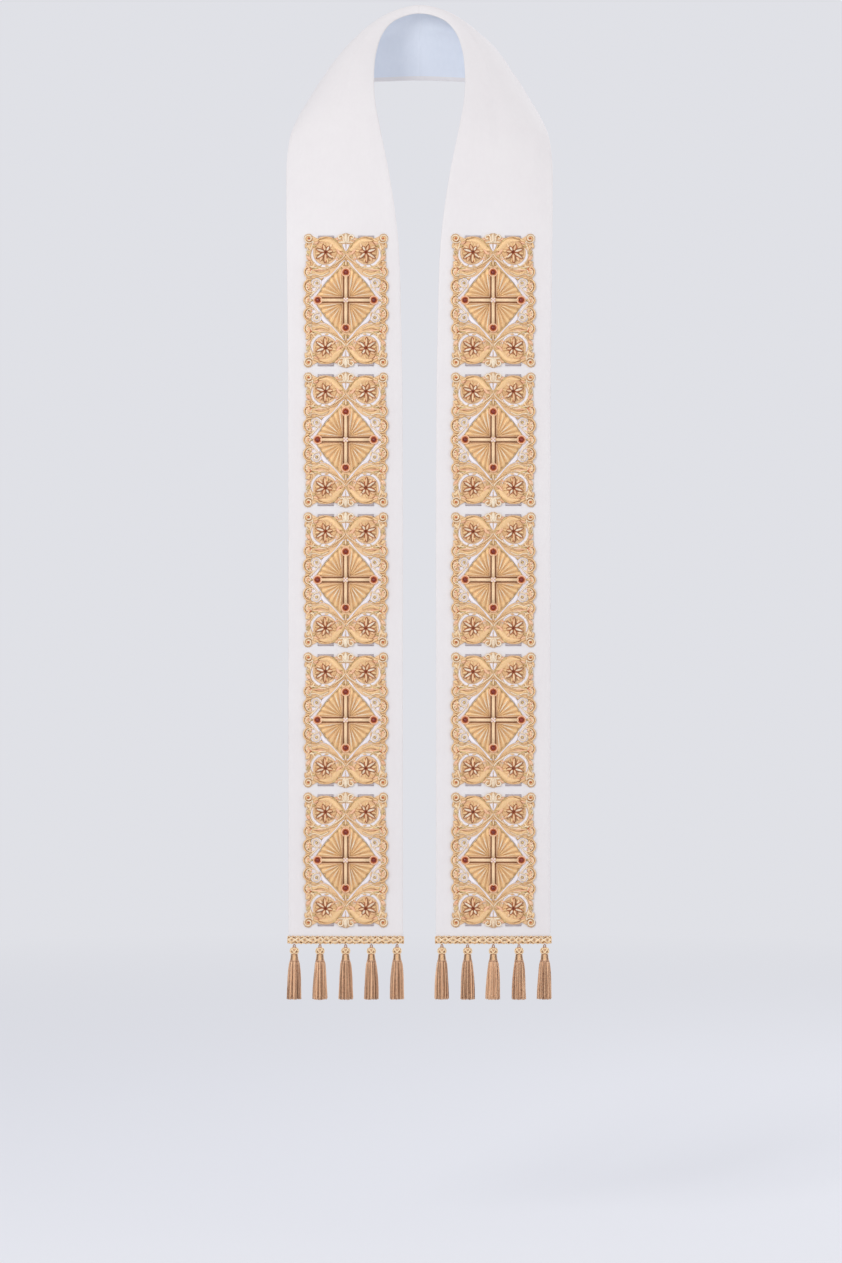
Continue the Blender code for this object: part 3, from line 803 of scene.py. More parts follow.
    def _loose(self, run: np.ndarray, across: np.ndarray, half: Half) -> np.ndarray:
        """Work out how far the lining stands off, in soft wrinkles that die out towards its edges.

        Args:
            run: distances down the band.
            across: 0 at the neck edge to 1 at the outer edge.
            half: the half of the stole.

        Returns:
            The distances behind the wall, in metres.
        """
        down, over = run / MM, across * self.cut[0] / MM
        phase = 1.7 * half.value
        uneven = over + 7 * np.sin(over / 19 + phase) + 6 * np.sin(down / 71 + phase)
        lengthways = np.sin(uneven / 3.7 + 0.9 * np.sin(down / 83)) * np.sin(down / 61 + over / 33 + phase)
        slanting = np.sin(uneven / 6.1 - down / 43 + 0.8) * np.sin(down / 97 + 2.0 - phase)
        sides = np.minimum(over, self.cut[0] / MM - over)
        ends = np.minimum(down, self.length / MM - down)
        taper = np.clip(np.minimum(sides, ends) / self.slack_starts, 0, 1)
        return self.lining_slack * (0.5 + 0.35 * lengthways + 0.3 * slanting) * taper

    def _edge_roll(
        self, edge: np.ndarray, facing: np.ndarray, out: np.ndarray, turn: int
    ) -> list[np.ndarray]:
        """Round an edge of the wall.

        Args:
            edge: its places in the middle of the cloth.
            facing: the directions out of the face there.
            out: the directions past the edge.
            turn: 1 from face to lining, -1 from lining to face.

        Returns:
            The points of each step round the edge.
        """
        out = out / np.linalg.norm(out, axis=2, keepdims=True)
        reach = self.thickness / 2
        angles = [math.radians(angle) * turn for angle in self.roll_angles]
        return [
            edge + facing * reach * math.cos(angle) * turn + out * reach * abs(math.sin(angle))
            for angle in angles
        ]

    def _end_cap(self, ring: list[int], columns: int) -> list[list[int]]:
        """Close the end of the wall, from its face to its lining.

        Args:
            ring: the indices of the points round the end.
            columns: how many of them are on the face.

        Returns:
            The cap's faces.
        """
        rolled = len(self.roll_angles)
        face = ring[:columns]
        outer = ring[columns : columns + rolled]
        lining = ring[columns + rolled : 2 * columns + rolled][::-1]
        neck = ring[2 * columns + rolled :]
        cap = [[face[j], face[j + 1], lining[j + 1], lining[j]] for j in range(columns - 1)]
        cap.append([face[-1], *outer, lining[-1]])
        cap.append([lining[0], *neck, face[0]])
        return cap

    def _weave_places(self, rows: np.ndarray, columns: np.ndarray, around: int) -> np.ndarray:
        """Lay the thread attribute on the wall: millimetres down the band, and across it.

        Args:
            rows: the rows' distances down the band.
            columns: the columns' shares across it.
            around: how many points there are round the wall.

        Returns:
            The attribute, a row for each point.
        """
        width = self.cut[0] / MM
        face = columns * width
        rolled = len(self.roll_angles)
        ring = np.concatenate([face, np.full(rolled, width), face[::-1], np.zeros(rolled)])
        threads = np.zeros((len(rows), around, 3))
        threads[:, :, 0] = rows[:, None] / MM
        threads[:, :, 1] = ring[None, :]
        return threads.reshape(-1, 3)


# Stitched work, laid out flat


def smooth_path(points: Sequence[Place], pitch: float = 1.6) -> np.ndarray:
    """Run a smooth curve through a few places.

    Args:
        points: the places, in millimetres.
        pitch: the distance between the curve's points.

    Returns:
        The curve's points, a row each.
    """
    given = np.array(points, float)
    padded = np.vstack([2 * given[0] - given[1], given, 2 * given[-1] - given[-2]])
    pieces = []
    for a, b, c, d in zip(padded, padded[1:], padded[2:], padded[3:]):
        t = np.linspace(0, 1, max(3, round(np.linalg.norm(c - b) / pitch) + 1))[:-1, None]
        square, cube = 2 * a - 5 * b + 4 * c - d, 3 * b - a - 3 * c + d
        pieces.append(0.5 * (2 * b + (c - a) * t + square * t**2 + cube * t**3))
    return np.vstack([*pieces, given[-1:]])


def arc(
    centre: Place, radius: float, first: float, last: float, last_radius: float | None = None
) -> np.ndarray:
    """Run an arc, or a spiral where the last radius is another one.

    Args:
        centre: the arc's centre, in millimetres.
        radius: its first radius.
        first: its first angle, in degrees, from the right.
        last: its last angle.
        last_radius: its last radius.

    Returns:
        The arc's points, a row each.
    """
    end = radius if last_radius is None else last_radius
    long = abs(math.radians(last - first)) * (radius + end) / 2
    step = min(max(0.34 * min(radius, end), 0.75), 1.7)
    share = np.linspace(0, 1, max(5, round(long / step) + 1))
    angle = np.radians(first + (last - first) * share)
    reach = radius + (end - radius) * share
    return np.stack([centre[0] + reach * np.cos(angle), centre[1] + reach * np.sin(angle)], axis=1)


class Section(Enum):
    """The cross-section of a stitched shape: places from side to side, and heights, as shares."""

    CORD = tuple((math.cos(a), 1 + math.sin(a)) for a in (math.radians(-54 + 72 * i) for i in range(5)))
    SATIN = ((1.0, 0.0), (0.66, 0.74), (0.0, 1.0), (-0.66, 0.74), (-1.0, 0.0))


@dataclass
class Needlework:
    """Gathers stitched shapes, laid out flat in millimetres, as x, z and height."""

    seed: int = 7
    places: list[np.ndarray] = field(default_factory=list)
    threads: list[np.ndarray] = field(default_factory=list)
    faces: list[list[int]] = field(default_factory=list)
    kinds: list[int] = field(default_factory=list)
    count: int = 0

    def __post_init__(self) -> None:
        """Start the seeded source of small differences."""
        self.random = np.random.default_rng(self.seed)

    def loft(
        self, rings: np.ndarray, threads: np.ndarray, finish: Finish, closed: bool = False
    ) -> None:
        """Add a closed shape through rings of points, with both ends capped, or joined where closed.

        Args:
            rings: rows of rings of points.
            threads: the thread attribute of the same points.
            finish: the shape's finish.
            closed: whether the last ring joins the first.
        """
        count, around = rings.shape[:2]
        index = np.arange(count * around).reshape(count, around)
        ahead = np.roll(index, -1, axis=0) if closed else index[1:]
        here = index if closed else index[:-1]
        faces = np.stack([here, np.roll(here, -1, axis=1), np.roll(ahead, -1, axis=1), ahead], axis=-1)
        faces = faces.reshape(-1, 4).tolist()
        if not closed:
            faces += [index[0][::-1].tolist(), index[-1].tolist()]
        flat = rings.reshape(-1, 3)
        fans = [(face[0], b, c) for face in faces for b, c in zip(face[1:], face[2:])]
        a, b, c = (flat[list(corner)] for corner in zip(*fans))
        if float((a * np.cross(b, c)).sum()) < 0:
            faces = [face[::-1] for face in faces]
        self.keep(flat, threads.reshape(-1, 3), faces, finish)

    def keep(self, flat: np.ndarray, threads: np.ndarray, faces: list[list[int]], finish: Finish) -> None:
        """Store a shape's points and faces.

        Args:
            flat: its points, a row each.
            threads: the thread attribute of each point.
            faces: the indices of each face's corners.
            finish: its finish.
        """
        first = self.count
        self.faces += [[first + i for i in face] for face in faces]
        self.kinds += [STITCH_FINISHES.index(finish)] * len(faces)
        self.places.append(flat)
        self.threads.append(threads)
        self.count += len(flat)

    def strip(
        self,
        path: np.ndarray,
        half_width: float | np.ndarray,
        base: float | np.ndarray,
        finish: Finish,
        section: Section = Section.CORD,
        crown: float | np.ndarray | None = None,
        pitch: float = SATIN_PITCH,
        tone: float | np.ndarray | None = None,
    ) -> None:
        """Add a cord or a band of satin stitch along a path.

        Args:
            path: the path's points.
            half_width: half the width, the same all along or for each point.
            base: the height it lies at, the same all along or for each point.
            finish: the thread.
            section: the cross-section.
            crown: how high the section's full height is; a cord's own radius if left out.
            pitch: the width of a thread, or of a turn of the cord.
            tone: how light it is, from 0 to 1, the same all along or for each point; drawn at random if
                left out.
        """
        count = len(path)
        own = self.random.uniform(0.1, 0.9) if tone is None else tone
        width = np.broadcast_to(np.asarray(half_width, float), (count,))
        height = width if crown is None else np.broadcast_to(np.asarray(crown, float), (count,))
        lift = np.broadcast_to(np.asarray(base, float), (count,))
        way = np.gradient(path, axis=0)
        way = way / np.maximum(np.linalg.norm(way, axis=1, keepdims=True), 1e-9)
        beside = np.stack([-way[:, 1], way[:, 0]], axis=1)
        across, rise = np.array(section.value).T
        rings = np.zeros((count, len(across), 3))
        rings[:, :, :2] = path[:, None] + beside[:, None] * (width[:, None] * across)[:, :, None]
        rings[:, :, 2] = lift[:, None] + height[:, None] * rise
        steps = np.linalg.norm(np.diff(path, axis=0), axis=1)
        run = np.concatenate([[0.0], np.cumsum(steps)])
        threads = np.zeros_like(rings)
        slant = np.arange(len(across)) / len(across) if section is Section.CORD else across * 0.6
        threads[:, :, 0] = run[:, None] / pitch + slant
        # The place across feeds the finish's edge shade: painted shade towards the shape's sides.
        threads[:, :, 1] = across
        threads[:, :, 2] = np.broadcast_to(np.asarray(own, float), (count,))[:, None]
        self.loft(rings, threads, finish)

    def leaf(
        self, foot: Place, tip: Place, width: float, base: float, finish: Finish, bend: float = 0.0
    ) -> None:
        """Add a satin-stitched leaf or petal.

        Args:
            foot: where it starts.
            tip: where it ends.
            width: its full width.
            base: the height it lies at.
            finish: the thread.
            bend: how far its middle bends sideways, as a share of its length.
        """
        start, end = np.array(foot, float), np.array(tip, float)
        way = end - start
        share = np.linspace(0, 1, max(6, round(np.linalg.norm(way) / LEAF_STEP) + 1))
        side = np.array([-way[1], way[0]]) * bend
        path = start + way * share[:, None] + side * np.sin(share * math.pi)[:, None]
        swell = np.sin(np.clip(share * 0.94 + 0.05, 0, 1) ** 0.8 * math.pi) ** 0.75
        half_width = np.maximum(width / 2 * swell, 0.06)
        crown = 0.35 + half_width * 0.7
        self.strip(path, half_width, base, finish, Section.SATIN, crown, LEAF_PITCH)

    def dome(
        self,
        centre: Place,
        radius: float,
        base: float,
        crown: float,
        finish: Finish,
        sides: int = 8,
        rings: int = 4,
        slant: float = 0.0,
        power: float = 0.5,
    ) -> None:
        """Add a bead, a stone or a padded disc.

        Args:
            centre: its middle.
            radius: its radius.
            base: the height it stands on.
            crown: how high it rises above that.
            finish: its finish.
            sides: the points round it.
            rings: the rings from its rim to its middle.
            slant: the direction across its stitches, in degrees from the right.
            power: how full its profile is; 0.5 is round.
        """
        angle = np.arange(sides) * TURN / sides
        share = np.sin(np.linspace(0, 0.97, rings) * math.pi / 2)
        reach = np.sqrt(np.maximum(1 - share**2, 0.0))
        made = np.zeros((rings, sides, 3))
        made[:, :, 0] = centre[0] + radius * reach[:, None] * np.cos(angle)
        made[:, :, 1] = centre[1] + radius * reach[:, None] * np.sin(angle)
        made[:, :, 2] = base + crown * (share[:, None] ** (2 * power))
        threads = np.zeros_like(made)
        lie = math.radians(slant)
        threads[:, :, 0] = (made[:, :, 0] * math.cos(lie) + made[:, :, 1] * math.sin(lie)) / SATIN_PITCH
        # The place across is 1 at the rim and 0 at the top, so the finish's edge shade paints shade round
        # the rim.
        threads[:, :, 1] = reach[:, None]
        threads[:, :, 2] = self.random.uniform(0.3, 0.8)
        self.loft(made, threads, finish)

    def piece(self, name: str, place: Callable[[np.ndarray], np.ndarray], half: Half) -> bpy.types.Object:
        """Make the gathered work into one object.

        Args:
            name: the object's name.
            place: gives the right half's points in metres for flat ones in millimetres.
            half: the half that the object is on; the left one is mirrored.

        Returns:
            The object.
        """
        points = place(np.vstack(self.places)) * np.array([half.value, 1.0, 1.0])
        faces = self.faces if half is Half.RIGHT else [face[::-1] for face in self.faces]
        return make_mesh(name, points, faces, STITCH_FINISHES, self.kinds, np.vstack(self.threads))


# The signs of x and z in each quarter of a panel.
QUARTERS: tuple[Place, ...] = ((1, 1), (-1, 1), (-1, -1), (1, -1))


@dataclass
class Medallion:
    """An embroidered panel, in millimetres from its own middle: a cross in a rayed lozenge, a flower in
    each corner and a scrolled border. Shapes are given for its upper right quarter and mirrored."""

    count: int = 5
    pitch: float = 168.0
    first_z: float = -389.0
    centre_x: float = 88.5
    ground: float = 0.8
    lozenge: Place = (38.0, 43.0)
    lozenge_bulge: float = 1.6
    rays: int = 6
    ray_threads: int = 8
    cross_reach: float = 33.5
    arm: float = 3.0
    flower: Place = (24.0, 58.0)
    petals: int = 7
    # A petal's reach, and how much more it has low on the flower's outer side.
    petal_reach: Place = (11.6, 3.0)
    silver_reach: float = 29.0
    silver_width: float = 42.0
    volute: Place = (35.0, 21.0)
    corner: Place = (44.6, 74.8)
    # The lobes of the side border, from the middle up: centre, radius, and the degrees of the outer edge.
    lobes: tuple[tuple[float, float, float, float, float], ...] = (
        (43.7, 0.0, 7.4, -52.0, 52.0),
        (41.6, 17.0, 9.6, -47.0, 47.0),
        (42.8, 34.4, 7.8, -48.0, 45.0),
        (40.0, 54.0, 9.0, -45.0, 45.0),
        (45.0, 75.4, 6.6, -80.0, 155.0),
        (24.0, 58.0, 19.4, 62.0, 114.0),
        (0.0, 73.4, 9.0, 26.0, 90.0),
    )
    edge_inset: float = 0.9
    patch_reach: Place = (42.0, 76.0)
    patch_pitch: float = 4.0
    patch_thread: float = 0.8
    patch_tone: float = 0.62
    same_place: float = 0.05

    def outline(self) -> list[Place]:
        """Run the patch's scalloped edge along its lobes, inset so that the scrolls cover it.

        Returns:
            The edge's places, anticlockwise.
        """
        quarter: list[Place] = []
        for x, z, radius, first, last in self.lobes:
            for point in arc((x, z), radius - self.edge_inset, first, last)[::2]:
                quarter.append((float(point[0]), float(point[1])))
        quarter = [(max(x, 0.0), max(z, 0.0)) for x, z in quarter]
        ring: list[Place] = []
        turns = (
            quarter,
            [(-x, z) for x, z in quarter[::-1]],
            [(-x, -z) for x, z in quarter],
            [(x, -z) for x, z in quarter[::-1]],
        )
        for place in (place for turn in turns for place in turn):
            if not ring or math.dist(place, ring[-1]) > self.same_place:
                ring.append(place)
        if math.dist(ring[0], ring[-1]) < self.same_place:
            ring.pop()
        return ring

    def patch(self, work: Needlework) -> None:
        """Add the patch that carries the stitching: gold filling, with silver beside the lozenge.

        Args:
            work: the needlework that it is added to.
        """
        edge = self.outline()
        inner = [
            (float(x), float(z))
            for x in np.arange(-self.patch_reach[0], self.patch_reach[0] + 0.1, self.patch_pitch)
            for z in np.arange(-self.patch_reach[1], self.patch_reach[1] + 0.1, self.patch_pitch)
        ]
        inside_only, tolerance = 1, 0.01
        made = delaunay_2d_cdt(edge + inner, [], [list(range(len(edge)))], inside_only, tolerance)
        flat = np.array([tuple(place) for place in made[0]])
        count = len(flat)
        tops = [self._anticlockwise(flat, list(face)) for face in made[2]]
        under = [[i + count for i in face[::-1]] for face in tops]
        middles = np.abs(flat[np.array(tops)].mean(axis=1))
        beyond = middles[:, 0] / self.lozenge[0] + middles[:, 1] / self.lozenge[1]
        beside = (middles[:, 1] < self.silver_reach) & (middles[:, 0] < self.silver_width)
        silver = beside & (beyond > 1.0)
        points = np.vstack(
            [np.column_stack([flat, np.full(count, self.ground)]), np.column_stack([flat, np.zeros(count)])]
        )
        threads = np.zeros((2 * count, 3))
        threads[:, 0] = (points[:, 0] + points[:, 1]) / self.patch_thread
        threads[:, 2] = self.patch_tone
        rest = [face for face, light in zip(tops, silver) if not light]
        work.keep(points, threads, rest + under + self._rim(tops, count), Palette.FILLING)
        shining = threads[:count] + np.array([0.0, 0.0, 0.1])
        light_faces = [face for face, light in zip(tops, silver) if light]
        work.keep(points[:count], shining, light_faces, Palette.SILVER)

    def _anticlockwise(self, flat: np.ndarray, face: list[int]) -> list[int]:
        """Turn a triangle to face off the cloth.

        Args:
            flat: the patch's points.
            face: the indices of the triangle's corners.

        Returns:
            The indices, anticlockwise.
        """
        a, b, c = flat[face[0]], flat[face[1]], flat[face[2]]
        area = (b[0] - a[0]) * (c[1] - a[1]) - (c[0] - a[0]) * (b[1] - a[1])
        return face if area > 0 else face[::-1]

    def _rim(self, faces: list[list[int]], count: int) -> list[list[int]]:
        """Return the side wall of the patch, along the edges that only one triangle has."""
        edges = {(face[i], face[(i + 1) % 3]) for face in faces for i in range(3)}
        return [[b, a, a + count, b + count] for a, b in sorted(edges) if (b, a) not in edges]

    def work(self, seed: int) -> Needlework:
        """Stitch the whole panel, with its own small differences.

        Args:
            seed: the seed of the differences.

        Returns:
            The panel's needlework, laid out flat.
        """
        work = Needlework(seed)
        self.patch(work)
        for sx, sz in QUARTERS:
            self._quarter(work, np.array([sx, sz], float))
        for sx in (1.0, -1.0):
            self._shell(work, np.array(self.lobes[0][:2]), self.lobes[0][2], np.array([sx, 1.0]))
        self._palmettes(work)
        self._cross(work)
        return work

    def _quarter(self, work: Needlework, sign: np.ndarray) -> None:
        """Stitch what is in one quarter.

        Args:
            work: the needlework that it is added to.
            sign: 1 or -1 for the quarter's side, on x and on z.
        """
        self._light_ground(work, sign)
        self._rays(work, sign)
        self._roundel(work, sign)
        self._flower(work, sign)
        self._scrolls(work, sign)
        self._border(work, sign)

    def _leaves(
        self, work: Needlework, sign: np.ndarray, leaves: Iterable[tuple[Place, Place, float, float, Finish]]
    ) -> None:
        """Add leaves in one quarter.

        Args:
            work: the needlework that it is added to.
            sign: 1 or -1 for the quarter's side, on x and on z.
            leaves: the foot, tip, width, bend and thread of each.
        """
        for foot, tip, width, bend, finish in leaves:
            ends = tuple(np.array(foot) * sign), tuple(np.array(tip) * sign)
            work.leaf(*ends, width, self.ground, finish, bend * sign[0] * sign[1])

    def _light_ground(self, work: Needlework, sign: np.ndarray) -> None:
        """Stitch the silver beside the lozenge and round the flower, and grey strips at the top and bottom.

        Args:
            work: the needlework that it is added to.
            sign: 1 or -1 for the quarter's side, on x and on z.
        """
        half_x, half_z = self.lozenge
        out = np.array([half_z, half_x]) / math.hypot(half_x, half_z)
        share = np.linspace(0.02, 1.0, 22)
        line = np.array([half_x, 0]) * (1 - share[:, None]) + np.array([0, half_z + 4.0]) * share[:, None]
        swell = 0.3 + 0.45 * np.clip(share * 2 - 0.5, 0, 1)
        near, far = ((share - 0.42) / 0.13) ** 2, ((share - 0.93) / 0.08) ** 2
        swell += 2.5 * np.exp(-near) + 1.2 * np.exp(-far)
        bulge = self.lozenge_bulge * np.sin(share * math.pi)
        line = line + out * (swell + bulge + 0.9)[:, None]
        work.strip(line * sign, swell, self.ground, Palette.SILVER, Section.SATIN, 0.45, 0.6, tone=0.95)
        crescent = arc((25.6, 55.8), 15.0, -168, 28)
        swell = 0.3 + 2.2 * np.sin(np.linspace(0, 1, len(crescent)) * math.pi) ** 0.8
        work.strip(crescent * sign, swell, self.ground, Palette.SILVER, Section.SATIN, 0.55, 0.6, tone=0.9)
        triangle = smooth_path([(0.0, 59.5), (1.7, 63.5), (2.6, 68.0)])
        swell = np.linspace(0.3, 2.4, len(triangle))
        work.strip(triangle * sign, swell, self.ground, Palette.SILVER, Section.SATIN, 0.6, 0.6, tone=0.9)
        # Grey strips along the top and bottom edges of the panel, wider at the bottom.
        depth = 2.4 if sign[1] < 0 else 1.7
        edge_strips = np.array([(14.5, 77.0), (24.0, 77.0), (33.5, 77.0)])
        work.strip(edge_strips * sign, depth, 0.0, Palette.GREY, Section.SATIN, 0.9, 0.5, tone=0.5)

    def _rays(self, work: Needlework, sign: np.ndarray) -> None:
        """Stitch the padded rays between two arms of the cross, and the cord along their tips.

        Args:
            work: the needlework that it is added to.
            sign: 1 or -1 for the quarter's side, on x and on z.
        """
        inset = self.arm + 1.2
        half_x, half_z = self.lozenge
        first, last = np.array([half_x - inset * 0.9, inset]), np.array([inset, half_z - inset * 0.9])
        out = np.array([half_z, half_x]) / math.hypot(half_x, half_z)
        corner = np.array([inset, inset])
        share = np.linspace(0, 1, self.rays * 6 + 1)
        bulge = self.lozenge_bulge * np.sin(share * math.pi)
        ridge = np.abs(np.sin(share * self.rays * math.pi))
        tips = first + (last - first) * share[:, None] + out * (bulge + 0.9 * ridge)[:, None]
        reaches = np.array([0.03, 0.2, 0.4, 0.6, 0.78, 0.92, 1.0])
        crests = self._ray_crest(reaches)
        top = np.zeros((len(reaches), len(share), 3))
        top[:, :, :2] = (corner + (tips - corner) * reaches[:, None, None]) * sign
        top[:, :, 2] = self.ground + 0.45 + crests[:, None] * ridge**0.8
        low = top.copy()
        low[:, :, 2] = self.ground * 0.5
        threads = np.zeros_like(top)
        threads[:, :, 0] = share * self.rays * self.ray_threads
        number = np.minimum((share * self.rays).astype(int), self.rays - 1)
        # Painted light and shade: each ray's tone is light along its crest and dark in the valleys between
        # rays, a little different from ray to ray.
        threads[:, :, 2] = ridge**3 * work.random.uniform(0.7, 1.0, self.rays)[number]
        loops = np.concatenate([top, low[:, ::-1]], axis=1)
        work.loft(loops, np.concatenate([threads, threads[:, ::-1]], axis=1), Palette.RAYS)
        edge = first + (last - first) * share[::2, None] + out * (bulge[::2] + 1.1)[:, None]
        work.strip(edge * sign, 0.5, self.ground, Palette.OLIVE, pitch=1.3, tone=0.4)
        # Light satin streaks along the rays' crests: painted highlights.
        for tip in tips[3::6]:
            reach = np.linspace(work.random.uniform(0.2, 0.4), work.random.uniform(0.76, 0.97), 8)
            streak = corner + (tip - corner) * reach[:, None]
            swell = 0.12 + 0.72 * np.sin(np.linspace(0.05, 0.95, len(reach)) * math.pi)
            height = self.ground + 0.3 + self._ray_crest(reach)
            thread = Palette.CREAM if work.random.uniform() > 0.5 else Palette.LIGHT_GOLD
            work.strip(streak * sign, swell, height, thread, Section.SATIN, 0.42, 0.5)

    def _ray_crest(self, reach: np.ndarray) -> np.ndarray:
        """Return how high a ray's crest is, at shares of the way from the middle to its tip."""
        return (0.3 + 1.5 * np.sin(np.minimum(reach * 1.15, 1.0) * math.pi / 2)) * (1 - 0.7 * reach**8)

    def _roundel(self, work: Needlework, sign: np.ndarray) -> None:
        """Stitch the padded gold behind a flower, which sweeps to the middle, and the rings round it.

        Args:
            work: the needlework that it is added to.
            sign: 1 or -1 for the quarter's side, on x and on z.
        """
        slant = 60.0 * sign[0] * sign[1]
        middle = tuple(np.array([23.6, 60.4]) * sign)
        work.dome(middle, 13.6, self.ground, 1.1, Palette.GOLD, 30, 5, slant, 0.7)
        sweep = smooth_path([(3.4, 60.0), (8.5, 62.5), (13.5, 67.5), (21.0, 72.5), (32.5, 72.0)])
        share = np.linspace(0, 1, len(sweep))
        swell = 0.6 + 4.4 * np.sin(share**0.8 * math.pi) ** 0.8
        work.strip(sweep * sign, swell, self.ground, Palette.GOLD, Section.SATIN, 1.2, 0.7, tone=0.45)
        bend = 0.1 * sign[0] * sign[1]
        for number in range(8):
            angle = TURN * (number + 0.72) / 8
            way = np.array([math.cos(angle), math.sin(angle)])
            foot, tip = np.array(self.flower) + way * 6.6, np.array(self.flower) + way * 13.4
            finish = Palette.GOLD if number % 2 else Palette.ARM
            work.leaf(tuple(foot * sign), tuple(tip * sign), 4.4, self.ground + 0.5, finish, bend)
        fold = smooth_path([(4.4, 55.6), (7.6, 57.0), (11.0, 61.5)])
        work.strip(fold * sign, 1.9, self.ground, Palette.PEACH, Section.SATIN, 1.3, 0.6, tone=0.35)
        for radius, thick, finish, first, last in (
            (18.6, 0.8, Palette.GOLD, -176, 70),
            (17.1, 0.6, Palette.CREAM, -168, 52),
            (14.0, 0.5, Palette.PEACH, 52, 128),
        ):
            path = arc((25.2, 56.6), radius, first, last)
            swell = thick * (0.55 + 0.45 * np.sin(np.linspace(0, 1, len(path)) * math.pi) ** 0.5)
            work.strip(path * sign, swell, self.ground, finish, pitch=1.4)

    def _flower(self, work: Needlework, sign: np.ndarray) -> None:
        """Stitch a flower with long petals, outlined in brown, round a dark bead.

        Args:
            work: the needlework that it is added to.
            sign: 1 or -1 for the quarter's side, on x and on z.
        """
        centre = np.array(self.flower) * sign
        base = self.ground + 1.0
        for number in range(self.petals):
            angle = TURN * (number + 0.34) / self.petals
            way = np.array([math.cos(angle), math.sin(angle)]) * sign
            beside = np.array([-way[1], way[0]]) * sign[0] * sign[1]
            reach = self.petal_reach[0] + self.petal_reach[1] * math.cos(angle + TURN / 8)
            foot, tip = centre + way * 1.4, centre + way * reach
            finish = Palette.ARM if number % 2 else Palette.CREAM
            work.leaf(tuple(foot), tuple(tip), 3.6, base, finish)
            share = np.linspace(0, 1, 6)
            bow = 2.05 * np.sin(share**0.85 * math.pi) ** 0.6
            for side, thread, thick in ((1, Palette.BROWN, 0.62), (-1, Palette.RUST, 0.5)):
                line = foot + (tip - foot) * (share * 0.97)[:, None] + beside * side * bow[:, None]
                work.strip(line, thick * (1 - 0.25 * share), base + 0.45, thread, pitch=0.9, tone=0.4)
        work.dome(tuple(centre), 1.8, base, 1.3, Palette.BROWN, 9, 3)
        work.dome(tuple(centre), 1.2, base + 0.9, 1.1, Palette.GARNET, 8, 4)

    def _scrolls(self, work: Needlework, sign: np.ndarray) -> None:
        """Stitch the volute beside the lozenge, the stems that cross at its tip, and their leaves.

        Args:
            work: the needlework that it is added to.
            sign: 1 or -1 for the quarter's side, on x and on z.
        """
        base = self.ground
        vx, vz = self.volute
        curl = arc((vx, vz), 5.6, -115, 330, 1.7)
        stem = smooth_path([(43.5, 4.5), (38.8, 8.5), (35.0, 12.8), (vx - 2.2, vz - 5.1)])
        path = np.vstack([stem[:-1], curl])
        work.strip(path * sign, np.linspace(0.95, 0.6, len(path)), base, Palette.CREAM, pitch=1.4, tone=0.6)
        work.dome((vx * sign[0], vz * sign[1]), 1.9, base, 1.1, Palette.OLIVE, 8, 3)
        turn = arc((35.4, 20.6), 7.2, -30, 150)
        outer = np.vstack([smooth_path([(45.0, 8.0), (42.6, 12.5), (41.4, 17.5)])[:-1], turn])
        work.strip(outer * sign, 0.6, base, Palette.OLIVE, pitch=1.2, tone=0.3)
        for points, finish, thick in (
            (((44.0, 30.8), (36.5, 31.6), (29.0, 29.6), (20.5, 33.5)), Palette.CREAM, 0.7),
            (((44.0, 41.0), (36.0, 39.6), (28.0, 37.6), (19.5, 38.8)), Palette.CREAM, 0.75),
            (((0.5, 55.5), (4.5, 50.5), (10.0, 46.5), (16.5, 42.5)), Palette.CREAM, 0.75),
            (((0.4, 51.0), (5.0, 47.2), (9.5, 43.2), (15.0, 39.5)), Palette.GOLD, 0.7),
            (((1.2, 57.0), (3.8, 61.5), (5.4, 65.5), (9.5, 69.0)), Palette.OLIVE, 0.65),
        ):
            work.strip(smooth_path(points) * sign, thick, base, finish, pitch=1.3)
        broad = smooth_path([(46.0, 35.5), (38.0, 33.6), (30.0, 32.0), (20.0, 35.5)])
        swell = 2.8 - 1.6 * np.linspace(0, 1, len(broad)) ** 2
        work.strip(broad * sign, swell, base, Palette.GOLD, Section.SATIN, 1.1, 0.6, tone=0.4)
        self._leaves(
            work,
            sign,
            (
                ((41.0, 37.2), (28.5, 43.4), 4.0, 0.12, Palette.OLIVE),
                ((41.0, 36.4), (25.5, 35.8), 3.4, -0.06, Palette.PEACH),
                ((40.5, 35.0), (31.5, 28.6), 3.8, -0.12, Palette.GOLD),
                ((42.0, 38.5), (37.5, 47.0), 3.6, 0.15, Palette.LIGHT_GOLD),
                ((43.0, 38.0), (48.0, 44.5), 3.2, -0.1, Palette.PEACH),
                ((31.0, 30.2), (25.0, 32.6), 2.8, 0.1, Palette.OLIVE),
                ((41.5, 27.6), (34.5, 28.8), 3.2, 0.1, Palette.GOLD),
                ((40.5, 14.0), (43.4, 8.2), 3.0, 0.1, Palette.PEACH),
                ((38.4, 11.0), (40.6, 4.6), 3.0, 0.1, Palette.LIGHT_GOLD),
                ((31.4, 25.6), (26.6, 27.6), 2.6, 0.1, Palette.GOLD),
                ((29.8, 20.0), (31.6, 13.4), 2.6, -0.1, Palette.LIGHT_GOLD),
                ((5.5, 51.5), (8.6, 56.0), 3.0, 0.15, Palette.OLIVE),
                ((9.0, 48.6), (14.0, 50.0), 3.0, 0.1, Palette.PEACH),
                ((3.0, 46.5), (1.6, 41.2), 2.8, 0.1, Palette.OLIVE),
                ((20.0, 40.4), (26.0, 41.0), 2.6, 0.1, Palette.GOLD),
            ),
        )
        work.dome((42.2 * sign[0], 37.2 * sign[1]), 2.0, base, 1.6, Palette.RUST, 8, 3)

